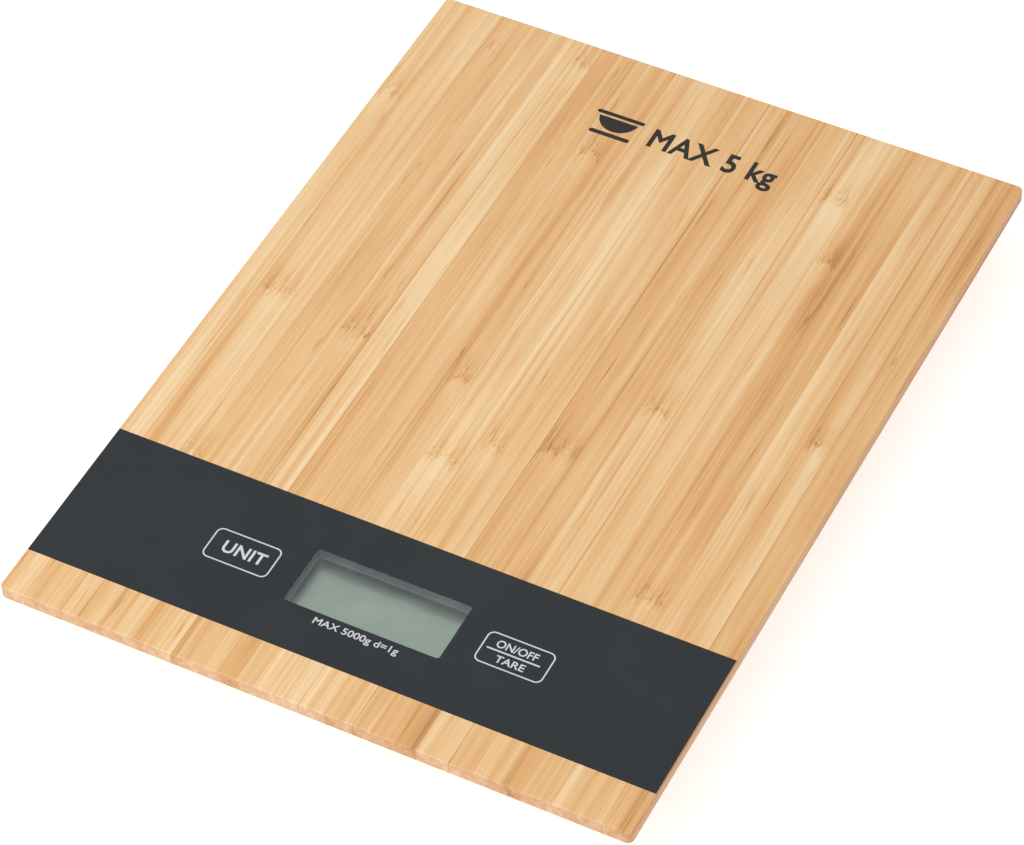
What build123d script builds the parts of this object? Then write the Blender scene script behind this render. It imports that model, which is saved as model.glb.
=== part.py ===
"""Slim digital kitchen scale: a laminated bamboo platform with an inlaid control panel,
carried by one load cell on a low two-part plastic case.

Millimetres, +Z up. The origin is on the table under the centre of the board.
The control panel is at the front, towards -Y, and +X is to the user's right.
"""
import os

from build123d import *

os.makedirs("parts", exist_ok=True)

# ---- Board ----
board_width = 160.0
board_depth = 220.0
board_thickness = 3.6
board_corner_radius = 1.6
board_top_easing = 0.4
board_bottom_easing = 0.35

# ---- Control panel film, inlaid flush in the board ----
panel_depth = 41.2
panel_front_margin = 12.6
panel_side_inset = 0.25
panel_seam = 0.1
film_thickness = 0.25
film_adhesive = 0.1
window_width = 39.8
window_depth = 16.8
window_corner_radius = 0.8
window_behind_centre = 0.3
window_fit = 0.05

# ---- Keys ----
key_width = 16.5
key_depth = 8.9
key_corner_radius = 1.4
key_to_window = 6.85
key_before_centre = 0.1
key_gap = 0.1
key_well_clearance = 0.3
key_travel = 0.25
key_end_clearance = 0.1
flange_thickness = 0.7
flange_inset = 1.2
plunger_radius = 2.0
plunger_clearance = 0.3

# ---- Display ----
lcd_margin = 3.1
lcd_forward_shift = 1.0
lcd_clearance = 0.3
reflector_thickness = 0.15
glass_thickness = 0.5
polarizer_thickness = 0.15
polarizer_inset = 1.0
contact_ledge = 2.6
bezel_wall = 1.4
bezel_lip = 0.3
bezel_lip_height = 0.35
bezel_clearance = 0.2
zebra_width = 1.8
zebra_inset = 0.3
zebra_end_inset = 1.0

# ---- Circuit board and switches ----
pcb_thickness = 1.2
pcb_gap = 0.6
pcb_side_margin = 6.75
pcb_front_clearance = 1.5
pcb_rear_margin = 4.0
pcb_boss_radius = 2.2
pcb_screw_inset = 3.5
pcb_screw_radius = 0.95
pcb_screw_hole_radius = 1.0
pcb_screw_head_radius = 1.9
pcb_screw_head_height = 0.9
pcb_screw_bite = 1.6
switch_size = 5.2
switch_height = 1.5
switch_chamfer = 0.3
switch_button_radius = 1.3
switch_button_clearance = 0.1
switch_button_rise = 0.5
switch_button_depth = 0.35
switch_opening_clearance = 0.3
blob_radius = 5.0
blob_height = 1.4
blob_rounding = 1.0
chip_length = 2.0
chip_width = 1.25
chip_height = 0.6
chip_pitch = 5.0
chip_rows = 3
chip_row_to_blob = 9.0

# ---- Case ----
case_side_overhang = 10.0
case_end_overhang = 13.0
case_corner_radius = 9.0
case_bottom_rounding = 1.0
foot_rise = 2.0
base_floor = 1.6
base_wall = 1.4
base_wall_top_gap = 1.7
carrier_plate = 1.6
skirt_wall = 1.6
skirt_gap = 1.2
skirt_lift = 1.4
tape_thickness = 0.5
tape_width = 9.0
tape_inset = 5.0
rib_thickness = 1.2
base_rib_height = 2.0
carrier_rib_height = 1.0
rib_pitch = 30.0
rib_to_stop = 3.0
platform_travel = 0.4
stop_radius = 2.5
stop_extra = 0.05
stop_side_inset = 12.0
stop_to_pcb = 8.0

# ---- Feet ----
foot_radius = 6.0
foot_recess = 0.8
foot_clearance = 0.1
foot_rounding = 0.7
foot_side_inset = 14.0
foot_end_inset = 13.0

# ---- Load cell ----
beam_length = 47.0
beam_width = 12.0
beam_height = 6.0
beam_edge_chamfer = 0.3
flexure_hole_radius = 2.3
flexure_hole_pitch = 9.0
flexure_slot = 1.5
lower_spacer_thickness = 1.0
upper_spacer_thickness = 1.7
spacer_length = 14.0
cell_hole_first = 3.75
cell_hole_pitch = 6.0
gauge_length = 5.0
gauge_width = 4.0
gauge_thickness = 0.1
sealant_length = 19.0
sealant_inset = 0.5
sealant_thickness = 0.7

# ---- Screws of the load cell ----
m3_radius = 1.5
m3_hole_clearance = 0.05
m3_head_radius = 2.8
m3_head_height = 1.3
m3_length = 8.0
head_clearance = 0.1
cross_recess_width = 0.7
cross_recess_share = 0.75

# ---- Battery ----
cell_diameter = 20.0
cell_thickness = 3.2
cell_cap_step = 0.2
cell_cap_inset = 1.6
cell_edge_chamfer = 0.3
cell_clearance = 0.4
turret_to_pcb = 11.6
turret_to_beam = 7.6
turret_wall = 1.4
turret_roof = 1.3
door_hole_margin = 3.0
door_gap = 0.2
door_boss_inset = 0.8
door_boss_height = 1.2
lug_count = 3
lug_reach = 1.8
lug_width = 6.0
lug_lift = 0.1
lug_clearance = 0.4
door_turn = 45.0
cell_to_door = 0.2
coin_slot_length = 13.0
coin_slot_width = 2.2
coin_slot_depth = 0.9
mark_radius = 0.6
mark_depth = 0.25
mark_offset = 2.2
contact_thickness = 0.25
contact_width = 4.0
contact_clearance = 0.2
contact_tail = 1.4
contact_tab_rise = 2.4

# ---- Wiring ----
wire_radius = 0.45
wire_pitch = 1.2
wire_bend_radius = 1.2
wire_to_beam = 3.0
wire_pad_inset = 2.0
wire_end_gap = 0.05
wire_side_step = 4.0

# ---- Blank label on the underside ----
label_width = 56.0
label_depth = 34.0
label_thickness = 0.12
label_recess = 0.2
label_clearance = 0.2
label_corner_radius = 1.5
label_to_screws = 15.45

# ---- Heights worked out from the table up ----
base_bottom = foot_rise
floor_top = base_bottom + base_floor
beam_bottom = floor_top + lower_spacer_thickness
beam_top = beam_bottom + beam_height
carrier_bottom = beam_top + upper_spacer_thickness
carrier_top = carrier_bottom + carrier_plate
board_bottom = carrier_top + tape_thickness
board_top = board_bottom + board_thickness
film_bottom = board_top - film_thickness
recess_floor = film_bottom - film_adhesive
pcb_top = carrier_bottom - pcb_gap
pcb_bottom = pcb_top - pcb_thickness
skirt_bottom = floor_top + skirt_lift
base_wall_top = carrier_bottom - base_wall_top_gap
rear_glass_bottom = carrier_top + reflector_thickness
front_glass_bottom = rear_glass_bottom + glass_thickness
polarizer_bottom = front_glass_bottom + glass_thickness
lcd_top = polarizer_bottom + polarizer_thickness
flange_bottom = film_bottom - flange_thickness
well_floor = flange_bottom - key_travel - key_end_clearance
switch_top = pcb_top + switch_height
switch_button_top = switch_top + switch_button_rise
switch_button_bottom = switch_top - switch_button_depth
switch_bore_bottom = switch_button_bottom - key_travel - key_end_clearance
lug_bottom = floor_top + lug_lift
door_boss_top = floor_top + door_boss_height
cell_bottom = door_boss_top + cell_to_door
cell_top = cell_bottom + cell_thickness
turret_ceiling = cell_top + contact_thickness + contact_clearance
turret_top = turret_ceiling + turret_roof

# ---- Places worked out from the board inwards ----
panel_width = board_width - 2 * panel_side_inset
panel_y = -board_depth / 2 + panel_front_margin + panel_depth / 2
window_y = panel_y + window_behind_centre
key_y = panel_y - key_before_centre
key_x = window_width / 2 + key_to_window + key_width / 2
lcd_width = window_width + 2 * lcd_margin
lcd_depth = window_depth + 2 * lcd_margin
lcd_y = window_y - lcd_forward_shift
rear_glass_depth = lcd_depth - contact_ledge
rear_glass_y = lcd_y + contact_ledge / 2
zebra_y = lcd_y - lcd_depth / 2 + zebra_inset + zebra_width / 2
bezel_width = lcd_width + 2 * (lcd_clearance + bezel_wall)
bezel_depth = lcd_depth + 2 * (lcd_clearance + bezel_wall)
case_width = board_width - 2 * case_side_overhang
case_depth = board_depth - 2 * case_end_overhang
wall_inset = skirt_wall + skirt_gap
pcb_width = 2 * (key_x + key_width / 2 + pcb_side_margin)
pcb_front = lcd_y - lcd_depth / 2 - pcb_front_clearance
pcb_rear = lcd_y + lcd_depth / 2 + pcb_rear_margin
pcb_depth = pcb_rear - pcb_front
pcb_y = (pcb_front + pcb_rear) / 2
door_radius = cell_diameter / 2 + door_hole_margin - door_gap
door_hole_radius = door_radius + door_gap
lug_radius = door_radius + lug_reach
lug_chamber_radius = lug_radius + lug_clearance
turret_radius = lug_chamber_radius + turret_wall
battery_x = beam_width / 2 + turret_to_beam + turret_radius
battery_y = pcb_rear + turret_to_pcb + turret_radius
stop_x = case_width / 2 - stop_side_inset
stop_y = abs(pcb_rear + stop_to_pcb)
foot_x = case_width / 2 - foot_side_inset
foot_y = case_depth / 2 - foot_end_inset
cell_hole_span = cell_hole_first + cell_hole_pitch
fixed_hole_ys = [beam_length / 2 - cell_hole_first, beam_length / 2 - cell_hole_span]
free_hole_ys = [-y for y in fixed_hole_ys]
label_y = fixed_hole_ys[0] + m3_head_radius + label_to_screws + label_depth / 2
spacer_y = beam_length / 2 - spacer_length / 2
pcb_screw_places = [
    (side * (pcb_width / 2 - pcb_screw_inset), pcb_y + end * (pcb_depth / 2 - pcb_screw_inset))
    for side in (-1, 1)
    for end in (-1, 1)
]


def slab(width, depth, radius, low, high, centre=(0, 0)):
    """An upright block with rounded corners, from one height to another."""
    with BuildPart() as block:
        with BuildSketch(Plane.XY.offset(low)):
            with Locations(centre):
                RectangleRounded(width, depth, radius)
        extrude(amount=high - low)
    return block.part


def cylinder(radius, low, high, centre=(0, 0)):
    """An upright cylinder from one height to another."""
    with BuildPart() as rod:
        with BuildSketch(Plane.XY.offset(low)):
            with Locations(centre):
                Circle(radius)
        extrude(amount=high - low)
    return rod.part


def screw(profile, shank_radius, recess_radius, recess_depth):
    """A screw that points up from z = 0, with a cross recess in the underside of its head."""
    with BuildPart() as fastener:
        with BuildSketch(Plane.XZ):
            with BuildLine():
                Polyline(*profile, close=True)
            make_face()
        revolve(axis=Axis.Z)
        tip = fastener.edges().filter_by(GeomType.CIRCLE).group_by(Axis.Z)[-1]
        chamfer(tip, shank_radius / 3)
        head_low = fastener.part.bounding_box().min.Z
        with BuildSketch(Plane.XY.offset(head_low)):
            Rectangle(2 * recess_radius, cross_recess_width)
            Rectangle(cross_recess_width, 2 * recess_radius)
        extrude(amount=recess_depth, mode=Mode.SUBTRACT)
    return fastener.part


def wire(route_points):
    """A round wire along straight runs joined by tangent arcs."""
    with BuildPart() as lead:
        with BuildLine() as route:
            FilletPolyline(*route_points, radius=wire_bend_radius)
        with BuildSketch(Plane(origin=route.line @ 0, z_dir=route.line % 0)):
            Circle(wire_radius)
        sweep()
    return lead.part


# ---- Bamboo board ----
with BuildPart() as bamboo_board:
    add(slab(board_width, board_depth, board_corner_radius, board_bottom, board_top))
    fillet(bamboo_board.faces().sort_by(Axis.Z)[-1].edges(), board_top_easing)
    fillet(bamboo_board.faces().sort_by(Axis.Z)[0].edges(), board_bottom_easing)
    with BuildSketch(Plane.XY.offset(recess_floor)):
        with Locations((0, panel_y)):
            Rectangle(board_width, panel_depth + 2 * panel_seam)
    extrude(amount=board_top - recess_floor, mode=Mode.SUBTRACT)
    with BuildSketch(Plane.XY.offset(board_bottom)):
        with Locations((0, lcd_y)):
            Rectangle(bezel_width + 2 * bezel_clearance, bezel_depth + 2 * bezel_clearance)
        with Locations((-key_x, key_y), (key_x, key_y)):
            Circle(plunger_radius + plunger_clearance)
    extrude(amount=board_thickness, mode=Mode.SUBTRACT)
    with BuildSketch(Plane.XY.offset(well_floor)):
        with Locations((-key_x, key_y), (key_x, key_y)):
            RectangleRounded(
                key_width + 2 * key_well_clearance,
                key_depth + 2 * key_well_clearance,
                key_corner_radius + key_well_clearance,
            )
    extrude(amount=board_top - well_floor, mode=Mode.SUBTRACT)
bamboo_board.part.label = "bamboo_board"
export_step(bamboo_board.part, "parts/bamboo_board.step")

# ---- Control panel: printed film, its adhesive and the clear display window ----
with BuildPart() as control_panel:
    with BuildSketch(Plane.XY.offset(film_bottom)):
        with Locations((0, panel_y)):
            Rectangle(panel_width, panel_depth)
        with Locations((0, window_y)):
            RectangleRounded(window_width, window_depth, window_corner_radius, mode=Mode.SUBTRACT)
        with Locations((-key_x, key_y), (key_x, key_y)):
            RectangleRounded(key_width, key_depth, key_corner_radius, mode=Mode.SUBTRACT)
    extrude(amount=film_thickness)
control_panel.part.label = "control_panel"
export_step(control_panel.part, "parts/control_panel.step")

with BuildPart() as panel_adhesive:
    with BuildSketch(Plane.XY.offset(recess_floor)):
        with Locations((0, panel_y)):
            Rectangle(panel_width, panel_depth)
        with Locations((0, window_y)):
            Rectangle(
                window_width + 2 * key_well_clearance,
                window_depth + 2 * key_well_clearance,
                mode=Mode.SUBTRACT,
            )
        with Locations((-key_x, key_y), (key_x, key_y)):
            RectangleRounded(
                key_width + 2 * key_well_clearance,
                key_depth + 2 * key_well_clearance,
                key_corner_radius + key_well_clearance,
                mode=Mode.SUBTRACT,
            )
    extrude(amount=film_adhesive)
panel_adhesive.part.label = "panel_adhesive"
export_step(panel_adhesive.part, "parts/panel_adhesive.step")

with BuildPart() as display_window:
    with BuildSketch(Plane.XY.offset(film_bottom)):
        with Locations((0, window_y)):
            RectangleRounded(
                window_width - 2 * window_fit,
                window_depth - 2 * window_fit,
                window_corner_radius - window_fit,
            )
    extrude(amount=film_thickness)
display_window.part.label = "display_window"
export_step(display_window.part, "parts/display_window.step")

# ---- Display: bezel, polarizer, two glasses, reflector and contact strip ----
with BuildPart() as lcd_bezel:
    with BuildSketch(Plane.XY.offset(carrier_top)):
        with Locations((0, lcd_y)):
            Rectangle(bezel_width, bezel_depth)
    extrude(amount=recess_floor - carrier_top)
    with BuildSketch(Plane.XY.offset(carrier_top)):
        with Locations((0, lcd_y)):
            Rectangle(lcd_width + 2 * lcd_clearance, lcd_depth + 2 * lcd_clearance)
    extrude(amount=lcd_top - carrier_top, mode=Mode.SUBTRACT)
    with BuildSketch(Plane.XY.offset(lcd_top)):
        with Locations((0, window_y)):
            Rectangle(window_width - 2 * bezel_lip, window_depth - 2 * bezel_lip)
    extrude(amount=recess_floor - lcd_top, mode=Mode.SUBTRACT)
    with BuildSketch(Plane.XY.offset(lcd_top + bezel_lip_height)):
        with Locations((0, window_y)):
            RectangleRounded(window_width, window_depth, window_corner_radius)
    extrude(amount=recess_floor - lcd_top - bezel_lip_height, mode=Mode.SUBTRACT)
lcd_bezel.part.label = "lcd_bezel"
export_step(lcd_bezel.part, "parts/lcd_bezel.step")

with BuildPart() as lcd_polarizer:
    with BuildSketch(Plane.XY.offset(polarizer_bottom)):
        with Locations((0, rear_glass_y)):
            Rectangle(lcd_width - 2 * polarizer_inset, rear_glass_depth - polarizer_inset)
    extrude(amount=polarizer_thickness)
lcd_polarizer.part.label = "lcd_polarizer"
export_step(lcd_polarizer.part, "parts/lcd_polarizer.step")

with BuildPart() as lcd_front_glass:
    with BuildSketch(Plane.XY.offset(front_glass_bottom)):
        with Locations((0, lcd_y)):
            Rectangle(lcd_width, lcd_depth)
    extrude(amount=glass_thickness)
lcd_front_glass.part.label = "lcd_front_glass"
export_step(lcd_front_glass.part, "parts/lcd_front_glass.step")

with BuildPart() as lcd_rear_glass:
    with BuildSketch(Plane.XY.offset(rear_glass_bottom)):
        with Locations((0, rear_glass_y)):
            Rectangle(lcd_width, rear_glass_depth)
    extrude(amount=glass_thickness)
lcd_rear_glass.part.label = "lcd_rear_glass"
export_step(lcd_rear_glass.part, "parts/lcd_rear_glass.step")

with BuildPart() as lcd_reflector:
    with BuildSketch(Plane.XY.offset(carrier_top)):
        with Locations((0, rear_glass_y)):
            Rectangle(lcd_width - 2 * polarizer_inset, rear_glass_depth - polarizer_inset)
    extrude(amount=reflector_thickness)
lcd_reflector.part.label = "lcd_reflector"
export_step(lcd_reflector.part, "parts/lcd_reflector.step")

with BuildPart() as zebra_connector:
    with BuildSketch(Plane.XY.offset(pcb_top)):
        with Locations((0, zebra_y)):
            Rectangle(lcd_width - 2 * zebra_end_inset, zebra_width)
    extrude(amount=front_glass_bottom - pcb_top)
zebra_connector.part.label = "zebra_connector"
export_step(zebra_connector.part, "parts/zebra_connector.step")

# ---- Main circuit board and what is soldered to it ----
with BuildPart() as main_board:
    with BuildSketch(Plane.XY.offset(pcb_bottom)):
        with Locations((0, pcb_y)):
            RectangleRounded(pcb_width, pcb_depth, pcb_screw_inset / 2)
        with Locations(*pcb_screw_places):
            Circle(pcb_screw_hole_radius, mode=Mode.SUBTRACT)
    extrude(amount=pcb_thickness)
main_board.part.label = "main_board"
export_step(main_board.part, "parts/main_board.step")

with BuildPart() as chip_blob:
    add(cylinder(blob_radius, pcb_bottom - blob_height, pcb_bottom, (0, pcb_y)))
    fillet(chip_blob.faces().sort_by(Axis.Z)[0].edges(), blob_rounding)
chip_blob.part.label = "chip_blob"
export_step(chip_blob.part, "parts/chip_blob.step")

chip_row_x = blob_radius + chip_row_to_blob

with BuildPart() as surface_components:
    with BuildSketch(Plane.XY.offset(pcb_bottom - chip_height)):
        with Locations((-chip_row_x, pcb_y), (chip_row_x, pcb_y)):
            with GridLocations(chip_pitch, chip_pitch, 2, chip_rows):
                Rectangle(chip_length, chip_width)
    extrude(amount=chip_height)
surface_components.part.label = "surface_components"
export_step(surface_components.part, "parts/surface_components.step")

with BuildPart() as pcb_screws:
    pan_head_screw = screw(
        [
            (0, -pcb_screw_head_height),
            (pcb_screw_head_radius * cross_recess_share, -pcb_screw_head_height),
            (pcb_screw_head_radius, -pcb_screw_head_height / 2),
            (pcb_screw_head_radius, 0),
            (pcb_screw_radius, 0),
            (pcb_screw_radius, pcb_thickness + pcb_screw_bite),
            (0, pcb_thickness + pcb_screw_bite),
        ],
        pcb_screw_radius,
        pcb_screw_head_radius * cross_recess_share / 2,
        pcb_screw_head_height / 2,
    )
    with Locations(*[(x, y, pcb_bottom) for x, y in pcb_screw_places]):
        add(pan_head_screw)
pcb_screws.part.label = "pcb_screws"
export_step(pcb_screws.part, "parts/pcb_screws.step")

# ---- Keys: film pad, plunger, switch and switch button, left for units, right for tare ----
for key_name, side in (("unit", -1), ("tare", 1)):
    key_place = (side * key_x, key_y)

    with BuildPart() as key_pad:
        add(
            slab(
                key_width - 2 * key_gap,
                key_depth - 2 * key_gap,
                key_corner_radius - key_gap,
                film_bottom,
                board_top,
                key_place,
            )
        )
    key_pad.part.label = f"{key_name}_key_pad"
    export_step(key_pad.part, f"parts/{key_name}_key_pad.step")

    with BuildPart() as key_plunger:
        add(
            slab(
                key_width - 2 * flange_inset,
                key_depth - 2 * flange_inset,
                key_corner_radius / 2,
                flange_bottom,
                film_bottom,
                key_place,
            )
        )
        add(cylinder(plunger_radius, switch_button_top, flange_bottom, key_place))
    key_plunger.part.label = f"{key_name}_key_plunger"
    export_step(key_plunger.part, f"parts/{key_name}_key_plunger.step")

    with BuildPart() as switch_button:
        add(cylinder(switch_button_radius, switch_button_bottom, switch_button_top, key_place))
    switch_button.part.label = f"{key_name}_switch_button"
    export_step(switch_button.part, f"parts/{key_name}_switch_button.step")

    with BuildPart() as switch_body:
        with BuildSketch(Plane.XY.offset(pcb_top)):
            with Locations(key_place):
                Rectangle(switch_size, switch_size)
        extrude(amount=switch_height)
        chamfer(switch_body.faces().sort_by(Axis.Z)[-1].edges(), switch_chamfer)
        with BuildSketch(Plane.XY.offset(switch_bore_bottom)):
            with Locations(key_place):
                Circle(switch_button_radius + switch_button_clearance)
        extrude(amount=switch_top - switch_bore_bottom, mode=Mode.SUBTRACT)
    switch_body.part.label = f"{key_name}_switch"
    export_step(switch_body.part, f"parts/{key_name}_switch.step")

# ---- Platform carrier: plate with a skirt, under the board ----
with BuildPart() as platform_carrier:
    add(slab(case_width, case_depth, case_corner_radius, skirt_bottom, carrier_top))
    add(
        slab(
            case_width - 2 * skirt_wall,
            case_depth - 2 * skirt_wall,
            case_corner_radius - skirt_wall,
            skirt_bottom,
            carrier_bottom,
        ),
        mode=Mode.SUBTRACT,
    )
    rib_field_depth = case_depth / 2 - skirt_wall - pcb_rear - rib_pitch / 2
    rib_field_y = pcb_rear + rib_pitch / 2 + rib_field_depth / 2
    with BuildSketch(Plane.XY.offset(carrier_bottom - carrier_rib_height)):
        with Locations((0, rib_field_y)):
            for rib_side in (-1, 1):
                with Locations((rib_side * rib_pitch, 0)):
                    Rectangle(rib_thickness, rib_field_depth)
        with Locations((0, case_depth / 2 - rib_pitch), (0, beam_length / 2 + rib_pitch / 2)):
            Rectangle(2 * (stop_x - stop_radius - rib_to_stop), rib_thickness)
    extrude(amount=carrier_rib_height)
    with BuildSketch(Plane.XY.offset(pcb_top)):
        with Locations(*pcb_screw_places):
            Circle(pcb_boss_radius)
    extrude(amount=pcb_gap)
    with BuildSketch(Plane.XY.offset(pcb_top)):
        with Locations(*pcb_screw_places):
            Circle(pcb_screw_hole_radius)
    extrude(amount=pcb_screw_bite + head_clearance, mode=Mode.SUBTRACT)
    with BuildSketch(Plane.XY.offset(carrier_bottom)):
        with Locations((0, zebra_y)):
            Rectangle(
                lcd_width - 2 * zebra_end_inset + 2 * bezel_clearance,
                zebra_width + 2 * bezel_clearance,
            )
        with Locations((-key_x, key_y), (key_x, key_y)):
            Rectangle(switch_size + 2 * switch_opening_clearance, switch_size + 2 * switch_opening_clearance)
        with Locations(*[(0, y) for y in free_hole_ys]):
            Circle(m3_radius + m3_hole_clearance)
    extrude(amount=carrier_plate, mode=Mode.SUBTRACT)
    for hole_y in free_hole_ys:
        with Locations((0, hole_y, carrier_top - m3_head_height / 2)):
            Cone(m3_radius, m3_head_radius + head_clearance, m3_head_height, mode=Mode.SUBTRACT)
platform_carrier.part.label = "platform_carrier"
export_step(platform_carrier.part, "parts/platform_carrier.step")

# ---- Double-sided tape between the carrier and the board ----
with BuildPart() as mounting_tape:
    side_tape_depth = case_depth / 2 - tape_inset - pcb_rear - rib_pitch / 2
    side_tape_y = pcb_rear + rib_pitch / 2 + side_tape_depth / 2
    tape_x = case_width / 2 - tape_inset - tape_width / 2
    end_tape_width = case_width - 2 * case_corner_radius - 2 * tape_inset - 2 * tape_width
    with BuildSketch(Plane.XY.offset(carrier_top)):
        with Locations((-tape_x, side_tape_y), (tape_x, side_tape_y)):
            Rectangle(tape_width, side_tape_depth)
        with Locations((0, case_depth / 2 - tape_inset - tape_width / 2)):
            Rectangle(end_tape_width, tape_width)
        with Locations((0, pcb_rear + rib_pitch / 4)):
            Rectangle(end_tape_width, tape_width)
    extrude(amount=tape_thickness)
mounting_tape.part.label = "mounting_tape"
export_step(mounting_tape.part, "parts/mounting_tape.step")

# ---- Base shell: floor, wall, battery turret, ribs and overload stops ----
with BuildPart() as base_shell:
    add(slab(case_width, case_depth, case_corner_radius, base_bottom, floor_top))
    fillet(base_shell.faces().sort_by(Axis.Z)[0].edges(), case_bottom_rounding)
    with BuildSketch(Plane.XY.offset(floor_top)):
        RectangleRounded(
            case_width - 2 * wall_inset,
            case_depth - 2 * wall_inset,
            case_corner_radius - wall_inset,
        )
        RectangleRounded(
            case_width - 2 * (wall_inset + base_wall),
            case_depth - 2 * (wall_inset + base_wall),
            case_corner_radius - wall_inset - base_wall,
            mode=Mode.SUBTRACT,
        )
    extrude(amount=base_wall_top - floor_top)
    with BuildSketch(Plane.XY.offset(floor_top)):
        with Locations((0, case_depth / 2 - rib_pitch), (0, beam_length / 2 + rib_pitch / 2), (0, pcb_rear)):
            Rectangle(case_width - 2 * (wall_inset + base_wall), rib_thickness)
        with Locations((-rib_pitch, 0)):
            Rectangle(rib_thickness, case_depth - 2 * (wall_inset + base_wall))
    extrude(amount=base_rib_height)
    with BuildSketch(Plane.XY.offset(floor_top)):
        with GridLocations(2 * stop_x, 2 * stop_y, 2, 2):
            Circle(stop_radius)
    extrude(amount=carrier_bottom - platform_travel - stop_extra - floor_top)
    add(cylinder(turret_radius, floor_top, turret_top, (battery_x, battery_y)))
    add(
        cylinder(door_hole_radius, base_bottom, floor_top, (battery_x, battery_y)),
        mode=Mode.SUBTRACT,
    )
    add(
        cylinder(lug_chamber_radius, floor_top, door_boss_top + lug_lift, (battery_x, battery_y)),
        mode=Mode.SUBTRACT,
    )
    add(
        cylinder(cell_diameter / 2 + cell_clearance, floor_top, turret_ceiling, (battery_x, battery_y)),
        mode=Mode.SUBTRACT,
    )
    with BuildSketch(Plane.XY.offset(base_bottom)):
        with Locations((battery_x, battery_y)):
            with PolarLocations(0, lug_count, start_angle=door_turn):
                Rectangle(
                    lug_radius + lug_clearance / 2,
                    lug_width + lug_clearance,
                    align=(Align.MIN, Align.CENTER),
                )
    extrude(amount=base_floor, mode=Mode.SUBTRACT)
    contact_slot_height = contact_thickness + 2 * contact_clearance
    with BuildSketch(Plane.XY.offset(cell_top - contact_clearance)):
        with Locations((battery_x, battery_y)):
            for slot_align in ((Align.MIN, Align.CENTER), (Align.CENTER, Align.MAX)):
                slot_along_x = slot_align[0] == Align.MIN
                slot_length = turret_radius + contact_clearance
                slot_width = contact_width + 2 * contact_clearance
                Rectangle(
                    slot_length if slot_along_x else slot_width,
                    slot_width if slot_along_x else slot_length,
                    align=slot_align,
                )
    extrude(amount=contact_slot_height, mode=Mode.SUBTRACT)
    with BuildSketch(Plane.XY.offset(cell_bottom)):
        with Locations((battery_x, battery_y)):
            Rectangle(
                cell_diameter / 2 + contact_thickness + contact_clearance,
                contact_width + 2 * contact_clearance,
                align=(Align.MIN, Align.CENTER),
            )
    extrude(amount=cell_thickness, mode=Mode.SUBTRACT)
    with BuildSketch(Plane.XY.offset(base_bottom)):
        with GridLocations(2 * foot_x, 2 * foot_y, 2, 2):
            Circle(foot_radius + foot_clearance)
    extrude(amount=foot_recess, mode=Mode.SUBTRACT)
    with BuildSketch(Plane.XY.offset(base_bottom)):
        with Locations((0, label_y)):
            RectangleRounded(
                label_width + 2 * label_clearance,
                label_depth + 2 * label_clearance,
                label_corner_radius + label_clearance,
            )
    extrude(amount=label_recess, mode=Mode.SUBTRACT)
    with BuildSketch(Plane.XY.offset(base_bottom)):
        with Locations(*[(0, y) for y in fixed_hole_ys]):
            Circle(m3_radius + m3_hole_clearance)
    extrude(amount=base_floor, mode=Mode.SUBTRACT)
    for hole_y in fixed_hole_ys:
        with Locations((0, hole_y, base_bottom + m3_head_height / 2)):
            Cone(m3_head_radius + head_clearance, m3_radius, m3_head_height, mode=Mode.SUBTRACT)
    with BuildSketch(Plane.XY.offset(base_bottom)):
        with Locations((battery_x, battery_y)):
            for mark_angle in (-90, -90 + door_turn):
                with PolarLocations(door_hole_radius + mark_offset, 1, start_angle=mark_angle):
                    Circle(mark_radius)
    extrude(amount=mark_depth, mode=Mode.SUBTRACT)
base_shell.part.label = "base_shell"
export_step(base_shell.part, "parts/base_shell.step")

# ---- Rubber feet, seated in round recesses ----
for foot_name, foot_side, foot_end in (
    ("foot_front_left", -1, -1),
    ("foot_front_right", 1, -1),
    ("foot_rear_left", -1, 1),
    ("foot_rear_right", 1, 1),
):
    with BuildPart() as foot:
        add(
            cylinder(
                foot_radius,
                0,
                foot_rise + foot_recess,
                (foot_side * foot_x, foot_end * foot_y),
            )
        )
        fillet(foot.faces().sort_by(Axis.Z)[0].edges(), foot_rounding)
    foot.part.label = foot_name
    export_step(foot.part, f"parts/{foot_name}.step")

# ---- Blank label in its recess under the base ----
with BuildPart() as underside_label:
    add(
        slab(
            label_width,
            label_depth,
            label_corner_radius,
            base_bottom + label_recess - label_thickness,
            base_bottom + label_recess,
            (0, label_y),
        )
    )
underside_label.part.label = "underside_label"
export_step(underside_label.part, "parts/underside_label.step")

# ---- Load cell: aluminium beam with a bone-shaped opening at its middle ----
with BuildPart() as load_cell:
    with BuildSketch(Plane.YZ.offset(-beam_width / 2)):
        with Locations((0, beam_bottom + beam_height / 2)):
            Rectangle(beam_length, beam_height)
            Rectangle(flexure_hole_pitch, flexure_slot, mode=Mode.SUBTRACT)
            with GridLocations(flexure_hole_pitch, 0, 2, 1):
                Circle(flexure_hole_radius, mode=Mode.SUBTRACT)
    extrude(amount=beam_width)
    chamfer(load_cell.edges().filter_by(Axis.Z), beam_edge_chamfer)
    with BuildSketch(Plane.XY.offset(beam_bottom)):
        with Locations(*[(0, y) for y in fixed_hole_ys + free_hole_ys]):
            Circle(m3_radius + m3_hole_clearance)
    extrude(amount=beam_height, mode=Mode.SUBTRACT)
load_cell.part.label = "load_cell"
export_step(load_cell.part, "parts/load_cell.step")

gauge_faces = ((beam_bottom, -1), (beam_top, 1))

with BuildPart() as strain_gauges:
    for face_height, outward in gauge_faces:
        with BuildSketch(Plane.XY.offset(face_height)):
            with GridLocations(0, flexure_hole_pitch, 1, 2):
                Rectangle(gauge_width, gauge_length)
        extrude(amount=outward * gauge_thickness)
strain_gauges.part.label = "strain_gauges"
export_step(strain_gauges.part, "parts/strain_gauges.step")

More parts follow.
